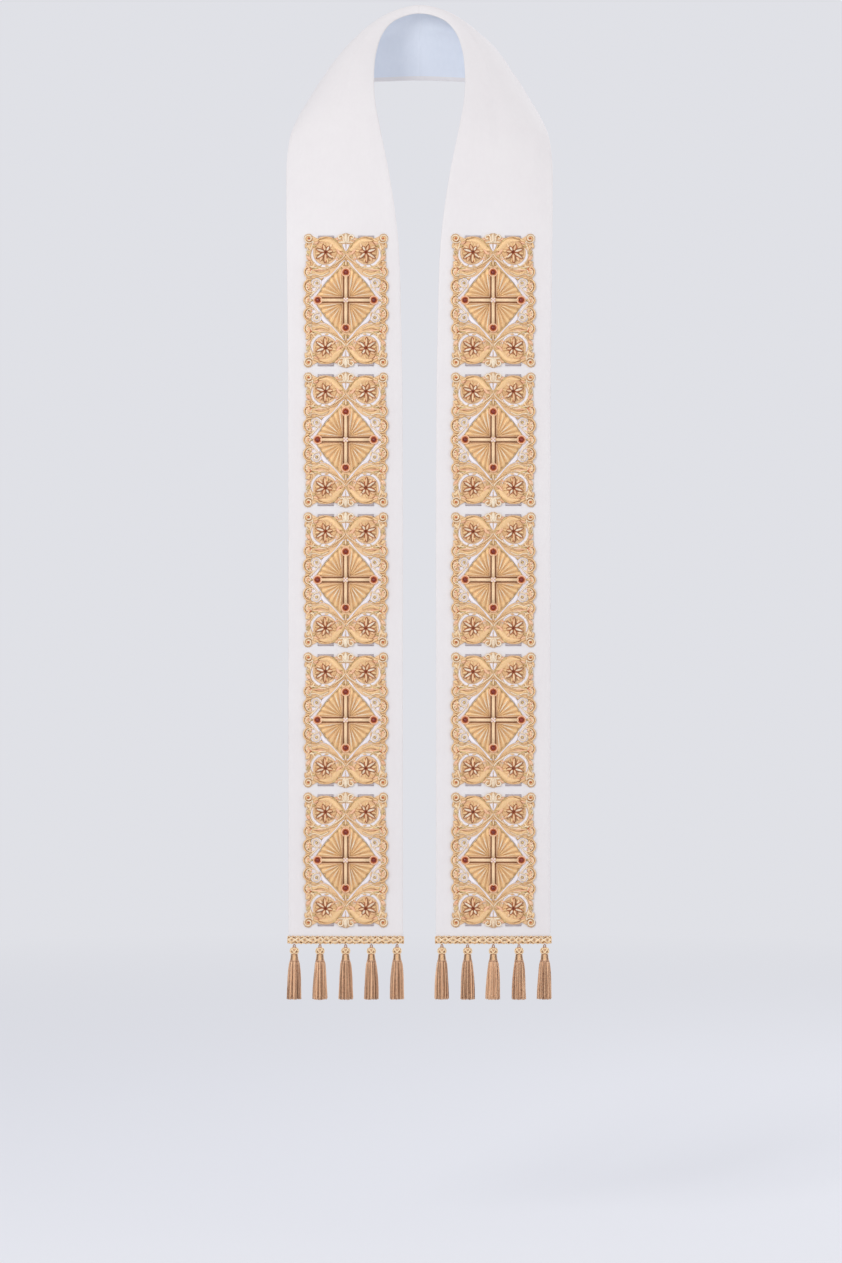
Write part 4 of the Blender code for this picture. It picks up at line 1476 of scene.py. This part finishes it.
    def _border(self, work: Needlework, sign: np.ndarray) -> None:
        """Stitch the scalloped side border above its middle shell, and the corner volute.

        Args:
            work: the needlework that it is added to.
            sign: 1 or -1 for the quarter's side, on x and on z.
        """
        for x, z, radius, _, _ in self.lobes[1:3]:
            self._shell(work, np.array([x, z]), radius, sign)
        base = self.ground
        for number, z in enumerate((44.5, 51.0, 57.5, 64.0)):
            finish = (Palette.GOLD, Palette.PEACH, Palette.OLIVE, Palette.LIGHT_GOLD)[number]
            foot, tip = (42.6, z - 2.4), (48.4 - 0.35 * number, z + 2.2)
            self._leaves(work, sign, ((foot, tip, 5.0, 0.12, finish),))
            curl = arc((44.4, z + 0.4), 3.0, -80, 130, 2.0)
            work.strip(curl * sign, 0.6, base, Palette.CREAM, pitch=1.2)
        cx, cz = self.corner
        spiral = arc((cx, cz), 5.8, -150, 300, 2.0)
        stem = smooth_path([(42.6, 60.5), (40.8, 65.5), (39.4, 70.0), (cx - 5.1, cz - 3.0)])
        path = np.vstack([stem[:-1], spiral])
        work.strip(path * sign, np.linspace(0.7, 0.95, len(path)), base, Palette.CREAM, pitch=1.4, tone=0.6)
        work.dome((cx * sign[0], cz * sign[1]), 4.6, base, 0.8, Palette.GOLD, 14, 3)
        work.dome((cx * sign[0], cz * sign[1]), 1.6, base + 0.6, 1.1, Palette.RUST, 8, 3)
        self._leaves(
            work,
            sign,
            (
                ((39.0, 71.5), (31.0, 75.6), 3.8, 0.1, Palette.GOLD),
                ((38.5, 69.0), (32.5, 71.6), 3.2, 0.1, Palette.PEACH),
                ((47.0, 69.8), (48.8, 63.0), 3.4, 0.0, Palette.GOLD),
                ((41.0, 66.0), (35.5, 66.4), 3.2, 0.1, Palette.OLIVE),
                ((33.0, 75.0), (24.0, 76.6), 2.8, 0.0, Palette.LIGHT_GOLD),
                ((10.5, 70.5), (19.0, 75.4), 3.0, 0.1, Palette.OLIVE),
            ),
        )
        rim = arc((24.0, 58.0), 18.5, 60, 118)
        work.strip(rim * sign, 0.75, base, Palette.GOLD, pitch=1.4, tone=0.3)

    def _shell(self, work: Needlework, centre: np.ndarray, radius: float, sign: np.ndarray) -> None:
        """Stitch one lobe of the border: two scrolled rims, leaves that fan out, and a bead.

        Args:
            work: the needlework that it is added to.
            centre: the lobe's centre.
            radius: its radius.
            sign: 1 or -1 for the quarter's side, on x and on z.
        """
        base = self.ground
        rim = arc(tuple(centre), radius - 0.9, -96, 96)
        work.strip(rim * sign, 0.9, base, Palette.GOLD, pitch=1.4, tone=0.6)
        curl = arc(tuple(centre + np.array([0.6, 0.0])), radius - 2.6, -120, 260, 1.5)
        work.strip(curl * sign, 0.75, base, Palette.CREAM, pitch=1.3, tone=0.5)
        fan = (Palette.OLIVE, Palette.PEACH, Palette.LIGHT_GOLD, Palette.PEACH, Palette.GOLD)
        for number, finish in enumerate(fan):
            angle = math.radians(-72 + 36 * number)
            way = np.array([math.cos(angle), math.sin(angle)])
            foot, tip = centre + way * 1.4, centre + way * (radius - 1.5)
            work.leaf(tuple(foot * sign), tuple(tip * sign), 3.2, base + 0.1, finish)
        back = centre + np.array([-4.8, 0.0])
        work.leaf(tuple(centre * sign), tuple(back * sign), 3.4, base, Palette.OLIVE)
        work.dome(tuple(centre * sign), 1.6, base + 0.6, 1.2, Palette.PEACH, 8, 3)

    def _palmettes(self, work: Needlework) -> None:
        """Stitch the curled buds in the middle of the top and the bottom, and those at the lozenge.

        Args:
            work: the needlework that it is added to.
        """
        base = self.ground
        for sz in (1.0, -1.0):
            work.leaf((0.0, 69.8 * sz), (0.0, 81.4 * sz), 7.2, base, Palette.CREAM)
            work.leaf((0.0, 71.2 * sz), (0.0, 79.6 * sz), 3.6, base + 0.9, Palette.OLIVE)
            work.leaf((0.0, 41.0 * sz), (0.0, 50.0 * sz), 4.0, base, Palette.GOLD)
            work.leaf((0.0, 42.0 * sz), (0.0, 49.0 * sz), 1.6, base + 1.0, Palette.CREAM)
            for sx in (1.0, -1.0):
                sign = np.array([sx, sz])
                stem = smooth_path([(0.6, 69.5), (2.6, 71.2), (3.4, 74.4)])
                curl = np.vstack([stem[:-1], arc((6.6, 75.8), 3.7, 210, -120, 1.6)])
                work.strip(curl * sign, 0.95, base, Palette.CREAM, pitch=1.3, tone=0.7)
                work.dome((6.6 * sx, 75.8 * sz), 1.8, base, 1.0, Palette.GOLD, 8, 3)
                self._leaves(
                    work,
                    sign,
                    (
                        ((1.0, 69.8), (9.4, 69.2), 3.2, 0.1, Palette.CREAM),
                        ((8.4, 72.6), (13.5, 75.2), 3.0, 0.0, Palette.PEACH),
                    ),
                )

    def _cross(self, work: Needlework) -> None:
        """Stitch the cross: padded arms between dark cords, stones at their ends, pearls in the middle.

        Args:
            work: the needlework that it is added to.
        """
        base = self.ground + 0.6
        arm, reach = self.arm, self.cross_reach
        ends = np.array([0.0, 0.5, 1.0])[:, None]
        for number in range(4):
            angle = number * math.pi / 2
            way = np.array([math.cos(angle), math.sin(angle)])
            beside = np.array([-way[1], way[0]])
            core = way * ends * (reach - 3.2)
            work.strip(core, arm - 0.5, base, Palette.ARM, Section.SATIN, 1.7, 0.6, tone=0.95)
            for side in (1, -1):
                line = way * (arm + ends * (reach - 7.2)) + beside * side * arm
                work.strip(line, 0.5, base + 0.3, Palette.BROWN, crown=0.6, pitch=1.3, tone=0.5)
                outer = way * (arm + 1.2 + ends * (reach - 8.5)) + beside * side * (arm + 1.2)
                work.strip(outer, 0.7, base - 0.1, Palette.ARM, pitch=1.3, tone=0.5)
            end = way * reach
            for radius, thick, finish in ((4.9, 0.85, Palette.PEACH), (3.5, 0.8, Palette.RUST)):
                first = 180 / math.pi * angle
                ring = arc((0.0, 0.0), radius, first, first + 360)
                work.strip(ring + end, thick, base, finish, pitch=1.2, tone=0.6)
            work.dome(tuple(end), 3.8, base, 1.0, Palette.BROWN, 12, 3)
            work.dome(tuple(end), 2.7, base + 0.8, 2.1, Palette.GARNET, 16, 6)
            work.dome(tuple((way + beside) * 1.6), 1.45, base + 1.5, 1.3, Palette.PEARL, 9, 4)
        work.dome((0.0, 0.0), 1.5, base + 1.9, 1.6, Palette.PEARL, 9, 4)

    def build(self, band: Band, half: Half, number: int) -> bpy.types.Object:
        """Stitch one panel, and lay it on the cloth.

        Args:
            band: the cloth.
            half: the half of the stole.
            number: 1 for the highest panel.

        Returns:
            The object.
        """
        middle_z = self.first_z - (number - 1) * self.pitch

        def place(flat: np.ndarray) -> np.ndarray:
            """Lay flat points on the right half's front."""
            x, z = (self.centre_x + flat[:, 0]) * MM, (middle_z + flat[:, 1]) * MM
            return band.lay_on(x, z, flat[:, 2] * MM)

        work = self.work(number if half is Half.RIGHT else number + self.count)
        return work.piece(f"embroidery_{half.word}_{number}", place, half)


@dataclass
class GimpBraid:
    """The braid along a hem, in millimetres: a twist of doubled cords on a ribbon, between wavy edges."""

    centre_x: float = 88.5
    top_z: float = -1151.9
    height: float = 10.0
    length: float = 139.6
    wave: float = 17.5
    lobe: float = 5.8
    cord: float = 0.78
    edge_cord: float = 0.68
    ribbon_inset: float = 0.7
    steps: int = 260

    def _slack(self, x: np.ndarray | float) -> np.ndarray | float:
        """Return how far the hand-made twist has slipped along the braid, at each place."""
        return 1.1 * np.sin(x * 0.21 + 0.6) + 0.55 * np.sin(x * 0.67)

    def _glow(self, x: np.ndarray, seed: float) -> np.ndarray:
        """Return how light a cord is at each place along the braid, from 0 to 1."""
        return 0.46 + 0.42 * np.sin(x * 1.25 + seed + 2.2 * np.sin(x * 0.43 + seed))

    def work(self) -> Needlework:
        """Twist the braid.

        Returns:
            The braid's needlework, laid out flat.
        """
        work = Needlework(seed=11)
        half = self.length / 2
        end = half - self.ribbon_inset
        x = np.linspace(-end, end, 40)
        ribbon = np.stack([x, np.zeros_like(x)], axis=1)
        half_width = self.height / 2 - self.ribbon_inset
        work.strip(ribbon, half_width, 0.0, Palette.WRAP, Section.SATIN, 0.8, 0.6, tone=0.5)
        fine = np.linspace(-end, end, self.steps)
        for side in (1, -1):
            lobes = 0.55 * np.cos(fine * TURN / self.lobe + side)
            edge = np.stack([fine, side * (self.height / 2 - self.edge_cord - 0.55 + lobes)], axis=1)
            glow = self._glow(fine, side)
            work.strip(edge, self.edge_cord, 0.2, Palette.LIGHT_GOLD, pitch=1.3, tone=glow)
        for number in range(2):
            turn = (fine + self._slack(fine)) * TURN / self.wave + number * math.pi
            lift = 1.0 + 0.5 * np.sin(2 * turn)
            slope = np.cos(turn)
            for side, finish in ((1, Palette.CREAM), (-1, Palette.LIGHT_GOLD)):
                across = (self.height / 2 - 2.9) * np.sin(turn) + side * (self.cord - 0.25 * slope * slope)
                path = np.stack([fine, across], axis=1)
                glow = self._glow(fine, number + 2.0 * side)
                work.strip(path, self.cord, lift, finish, pitch=1.2, tone=glow)
        for even in np.arange(-half + self.wave / 2, half - 2, self.wave / 2):
            place = even - self._slack(even)
            tilt = 0.9 * (1 if round(even) % 2 else -1)
            work.leaf((place - 2.4, -tilt), (place + 2.4, tilt), 2.6, 0.8, Palette.OLIVE)
            work.dome((place, 0.0), 1.1, 1.3, 0.9, Palette.PEACH, 8, 3)
        for side in (1, -1):
            finish_x = side * (half - self.edge_cord)
            bar = np.array([(finish_x, -4.2), (finish_x, 0.0), (finish_x, 4.2)])
            work.strip(bar, self.edge_cord, 0.2, Palette.GOLD, pitch=1.2)
        return work

    def build(self, band: Band, work: Needlework, half: Half) -> bpy.types.Object:
        """Lay the braid along the hem of one half.

        Args:
            band: the cloth.
            work: the braid's needlework.
            half: the half of the stole.

        Returns:
            The object.
        """
        middle_z = self.top_z - self.height / 2

        def place(flat: np.ndarray) -> np.ndarray:
            """Lay flat points on the right half's front."""
            x, z = (self.centre_x + flat[:, 0]) * MM, (middle_z + flat[:, 1]) * MM
            return band.lay_on(x, z, flat[:, 2] * MM)

        return work.piece(f"gimp_{half.word}", place, half)


@dataclass
class Tassel:
    """A tassel, in millimetres below its top: a loop, a wound head, a wrapped neck and a skirt."""

    count: int = 5
    # The head and neck: how far down, and radius.
    profile: tuple[Place, ...] = (
        (2.6, 1.4), (3.6, 2.3), (5.0, 3.4), (6.6, 4.1), (8.3, 4.2), (9.8, 4.0), (11.2, 3.6), (12.2, 3.4),
        (13.4, 3.7), (15.5, 4.0), (17.6, 4.3), (18.6, 5.2), (20.0, 5.6),
    )
    sides: int = 24
    net_leads: int = 3
    net_bights: int = 5
    net_middle: float = 7.4
    net_reach: float = 3.1
    net_cord: float = 0.72
    net_steps: int = 32
    # The cords round the neck: how far down, and radius.
    wraps: tuple[Place, ...] = (
        (12.4, 3.8), (13.5, 3.95), (14.6, 4.05), (15.7, 4.15), (16.8, 4.3), (17.9, 4.5),
    )
    wrap_cord: float = 0.58
    wrap_steps: int = 24
    head_ridges: int = 36
    golden_angle: float = 2.399963
    strands: int = 185
    strand_radius: float = 0.46
    locks: int = 22
    lock_depth: float = 0.4
    lock_tone: float = 0.36
    # The skirt: how far down, and radius.
    skirt: tuple[Place, ...] = (
        (16.8, 3.9), (19.5, 5.5), (23.0, 6.5), (30.0, 7.3),
        (40.0, 8.1), (52.0, 8.7), (60.0, 9.0), (65.8, 9.2),
    )

    def build(self, top: Sequence[float], half: Half, number: int) -> bpy.types.Object:
        """Make one tassel.

        Args:
            top: the middle of its top, in metres.
            half: the half of the stole.
            number: 1 for the one nearest the middle of the stole.

        Returns:
            The object.
        """
        work = Needlework(seed=31 + number + 10 * (half is Half.LEFT))
        self._head(work)
        self._loop(work)
        self._skirt(work)

        def place(flat: np.ndarray) -> np.ndarray:
            """Hang the tassel from its top. Its flat points are x, up and towards the front."""
            return np.column_stack(
                [
                    half.value * top[0] + flat[:, 0] * MM,
                    top[1] - flat[:, 2] * MM,
                    top[2] + flat[:, 1] * MM,
                ]
            )

        return work.piece(f"strands_{half.word}_{number}", place, half)

    def _turned(self, work: Needlework, profile: Iterable[Place], finish: Finish, ridges: int) -> None:
        """Add a turned solid.

        Args:
            work: the needlework that it is added to.
            profile: how far down each ring is, and its radius.
            finish: its finish.
            ridges: how many threads there are round it.
        """
        angle = np.arange(self.sides) * TURN / self.sides
        rings = [
            np.column_stack([radius * np.cos(angle), np.full(self.sides, -down), radius * np.sin(angle)])
            for down, radius in profile
        ]
        threads = np.zeros((len(rings), self.sides, 3))
        threads[:, :, 0] = (1 - np.abs(1 - angle / math.pi)) * ridges / 2
        threads[:, :, 2] = 0.1 + 0.2 * np.sin(angle * 5)
        work.loft(np.array(rings), threads, finish)

    def _head(self, work: Needlework) -> None:
        """Add the wound head, its neck, and the cords wrapped round the neck.

        Args:
            work: the needlework that it is added to.
        """
        self._turned(work, self.profile, Palette.STRAND, self.head_ridges)
        self._net(work)
        for down, radius in self.wraps:
            self._ring(work, radius, down, self.wrap_cord, Palette.NECK)

    def _net(self, work: Needlework) -> None:
        """Add the cord that is plaited round the head, over and under itself.

        Args:
            work: the needlework that it is added to.
        """
        turn = np.linspace(0, TURN * self.net_leads, self.net_steps * self.net_leads)
        wave = turn * self.net_bights / self.net_leads
        down = self.net_middle + self.net_reach * np.sin(wave)
        depths, radii = np.array(self.profile).T
        reach = np.interp(down, depths, radii) + self.net_cord * (0.75 + 0.25 * np.cos(2 * wave))
        path = np.column_stack([reach * np.cos(turn), -down, reach * np.sin(turn)])
        self._tube(work, path, np.full(len(turn), self.net_cord), Palette.LIGHT_GOLD, 0.7, 6, 1.3)

    def _ring(self, work: Needlework, radius: float, down: float, thick: float, finish: Finish) -> None:
        """Add a level ring of cord, with painted light and shade round it.

        Args:
            work: the needlework that it is added to.
            radius: its radius, to the middle of the cord.
            down: how far down it lies.
            thick: the cord's radius.
            finish: the cord's finish.
        """
        angle = np.linspace(0, TURN, self.wrap_steps + 1)[:-1]
        round_it = np.linspace(0, TURN, 7)[:-1]
        rings = np.zeros((len(angle), len(round_it), 3))
        reach = radius + thick * np.cos(round_it)
        rings[:, :, 0] = np.cos(angle)[:, None] * reach
        rings[:, :, 2] = np.sin(angle)[:, None] * reach
        rings[:, :, 1] = -down + thick * np.sin(round_it)
        threads = np.zeros_like(rings)
        turns = 2 * round(radius / 1.1 * math.pi / 2)
        threads[:, :, 0] = (1 - np.abs(1 - angle / math.pi))[:, None] * turns + round_it / TURN
        # Painted light and shade: the cord is lighter at its front, back and sides and darker halfway
        # between, so that from the front the neck looks lit in the middle and shaded towards its sides.
        threads[:, :, 2] = (0.3 + 0.6 * np.cos(4 * angle))[:, None]
        work.loft(rings, threads, finish, closed=True)

    def _tube(
        self,
        work: Needlework,
        path: np.ndarray,
        radius: np.ndarray,
        finish: Finish,
        tone: float,
        sides: int = 4,
        pitch: float = 1.6,
    ) -> None:
        """Add a strand or a cord along a path.

        Args:
            work: the needlework that it is added to.
            path: its places: x, up and forward.
            radius: its radius at each place.
            finish: its finish.
            tone: how light it is, from 0 to 1.
            sides: the points round it.
            pitch: the length of a turn of its twist.
        """
        way = np.gradient(path, axis=0)
        way /= np.linalg.norm(way, axis=1, keepdims=True)
        side = np.cross(way, np.array([0.0, 0.3, 1.0]))
        side /= np.linalg.norm(side, axis=1, keepdims=True)
        other = np.cross(way, side)
        angle = np.arange(sides) * TURN / sides
        rings = (
            path[:, None]
            + side[:, None] * (radius[:, None] * np.cos(angle))[:, :, None]
            + other[:, None] * (radius[:, None] * np.sin(angle))[:, :, None]
        )
        threads = np.zeros_like(rings)
        run = np.concatenate([[0.0], np.cumsum(np.linalg.norm(np.diff(path, axis=0), axis=1))])
        threads[:, :, 0] = run[:, None] / pitch + angle / TURN
        threads[:, :, 2] = tone
        work.loft(rings, threads, finish)

    def _loop(self, work: Needlework) -> None:
        """Add the doubled cord that the tassel hangs by.

        Args:
            work: the needlework that it is added to.
        """
        for side in (1, -1):
            down = np.linspace(-0.2, 4.6, 8)
            sway = 1.1 * np.sin(np.clip(down / 4.6, 0, 1) * math.pi) + 0.25
            path = np.column_stack([side * sway, -down, 0.3 * side * np.ones_like(down)])
            self._tube(work, path, np.full(len(down), 0.62), Palette.WRAP, 0.4, 6, 1.1)

    def _skirt(self, work: Needlework) -> None:
        """Add the strands, which spread below the neck in locks and end a little unevenly.

        Args:
            work: the needlework that it is added to.
        """
        random = work.random
        sway = random.uniform(-0.5, 0.5, 2)
        streaks = random.uniform(0, TURN)
        lock_tones = np.where(np.arange(self.locks) % 2, self.lock_tone, -self.lock_tone)
        lock_tones = lock_tones + random.uniform(-0.3, 0.3, self.locks)
        down, spread = np.array(self.skirt).T
        for number in range(self.strands):
            turn = number * self.golden_angle + random.uniform(-0.15, 0.15)
            share = math.sqrt((number + 0.5) / self.strands)
            wave = random.uniform(0, TURN)
            end = down[-1] - random.uniform(0.0, 1.6)
            levels = np.minimum(down, end)
            levels[-1] = end
            lock = turn / TURN * self.locks
            dent = self.lock_depth * (1 - abs(math.sin(lock * math.pi)))
            reach = (spread - self.strand_radius) * share - dent
            bend = 0.28 * np.sin(levels / 9.0 + wave) * (levels > 21)
            drift = np.clip((levels - 20) / 46, 0, 1)
            path = np.column_stack(
                [
                    (reach + bend) * math.cos(turn) + sway[0] * drift,
                    -levels,
                    (reach + bend) * math.sin(turn) + sway[1] * drift,
                ]
            )
            radius = np.full(len(down), self.strand_radius)
            radius[0] *= 0.7
            streak = 0.36 + 0.12 * math.sin(4 * turn + streaks) + random.normal(0, 0.14)
            streak += lock_tones[int(lock) % self.locks]
            tone = float(np.clip(streak, 0.0, 1.0))
            self._tube(work, path, radius, Palette.STRAND, tone)


# The studio


@dataclass
class Studio:
    """A pale floor, soft light from all round and in front, and a level camera."""

    floor_z: float = -1.53
    floor_radius: float = 40.0
    floor_sides: int = 96
    camera_x: float = 1.8 * MM
    camera_y: float = -4.188
    camera_z: float = -0.787
    lens: float = 95.0
    sensor: float = 36.0
    backdrop: Colour = BACKDROP
    # The soft square lights: name, place, aim, side and power.
    lights: tuple[tuple[str, Spot, Spot, float, float], ...] = (
        ("key", (-1.7, -3.0, 0.9), (0.0, -0.1, -0.6), 1.3, 36.0),
        ("fill", (2.2, -2.6, -0.2), (0.0, -0.1, -0.7), 2.2, 9.0),
        ("back", (2.4, 1.5, 0.7), (0.0, 0.0, -0.55), 1.2, 22.0),
    )

    def build(self) -> None:
        """Set up the floor, the lights, the world and the camera."""
        self._floor()
        self._camera()
        self._world()
        for light in self.lights:
            self._area(*light)

    def _floor(self) -> None:
        """Lay the floor, which is not part of the object."""
        mesh = bpy.data.meshes.new("studio_floor")
        angle = np.arange(self.floor_sides) * TURN / self.floor_sides
        ring = [(self.floor_radius * math.cos(a), self.floor_radius * math.sin(a), 0.0) for a in angle]
        mesh.from_pydata(ring, [], [list(range(len(ring)))])
        mesh.materials.append(Palette.FLOOR.material())
        floor = bpy.data.objects.new("studio_floor", mesh)
        floor.location.z = self.floor_z
        bpy.context.scene.collection.objects.link(floor)

    def _camera(self) -> None:
        """Set the camera level, straight ahead."""
        camera = bpy.data.cameras.new("camera")
        camera.lens = self.lens
        camera.sensor_width = self.sensor
        placed = bpy.data.objects.new("camera", camera)
        placed.location = (self.camera_x, self.camera_y, self.camera_z)
        placed.rotation_euler = (math.pi / 2, 0.0, 0.0)
        bpy.context.scene.collection.objects.link(placed)
        bpy.context.scene.camera = placed

    def _world(self) -> None:
        """Light the scene evenly from all round, and show it as it is, without a film look."""
        bpy.context.scene.view_settings.view_transform = "Standard"
        world = bpy.data.worlds.new("studio_light")
        world.use_nodes = True
        nodes = NodeMaker(world.node_tree)
        background = world.node_tree.nodes["Background"]
        nodes.feed(background.inputs["Color"], self.backdrop)
        bpy.context.scene.world = world

    def _area(self, name: str, place: Spot, aim: Spot, size: float, power: float) -> None:
        """Add a soft square light.

        Args:
            name: the light's name.
            place: where it stands, in metres.
            aim: where it is turned to.
            size: its side, in metres.
            power: its power, in watts.
        """
        light = bpy.data.lights.new(name, "AREA")
        light.size = size
        light.energy = power
        placed = bpy.data.objects.new(name, light)
        placed.location = place
        way = np.array(aim) - np.array(place)
        flat = math.hypot(way[0], way[1])
        placed.rotation_euler = (math.atan2(flat, -way[2]), 0.0, math.atan2(way[1], way[0]) - math.pi / 2)
        bpy.context.scene.collection.objects.link(placed)


def dress_half(band: Band, panel: Medallion, braid: GimpBraid, tassel: Tassel, half: Half) -> None:
    """Make every piece of one half, hide the model parts that it replaces, and attach it to the body.

    Args:
        band: the cloth.
        panel: the embroidered panel.
        braid: the braid.
        tassel: the tassel.
        half: the half of the stole.
    """
    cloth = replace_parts(band.build(half), f"band_{half.word}")
    on_it = []
    for number in range(1, panel.count + 1):
        made = panel.build(band, half, number)
        on_it.append(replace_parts(made, f"medallion_{half.word}_{number}"))
    gimp = braid.build(band, braid.work(), half)
    on_it.append(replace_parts(gimp, f"braid_{half.word}"))
    for number in range(1, tassel.count + 1):
        node = f"tassel_{half.word}_{number}"
        low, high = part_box(node)
        top = ((low.x + high.x) / 2, (low.y + high.y) / 2, high.z)
        on_it.append(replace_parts(tassel.build(top, half, number), node))
    for piece in (cloth, *on_it):
        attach(piece, BODY)
        log.info("%s: %d faces", piece.name, len(piece.data.polygons))


def main() -> None:
    """Build the stole's looks and the studio, and log how many faces each piece has."""
    logging.basicConfig(level=logging.INFO, format="%(name)s %(message)s")
    Studio().build()
    for half in Half:
        dress_half(Band(), Medallion(), GimpBraid(), Tassel(), half)


if __name__ == "__main__":
    main()
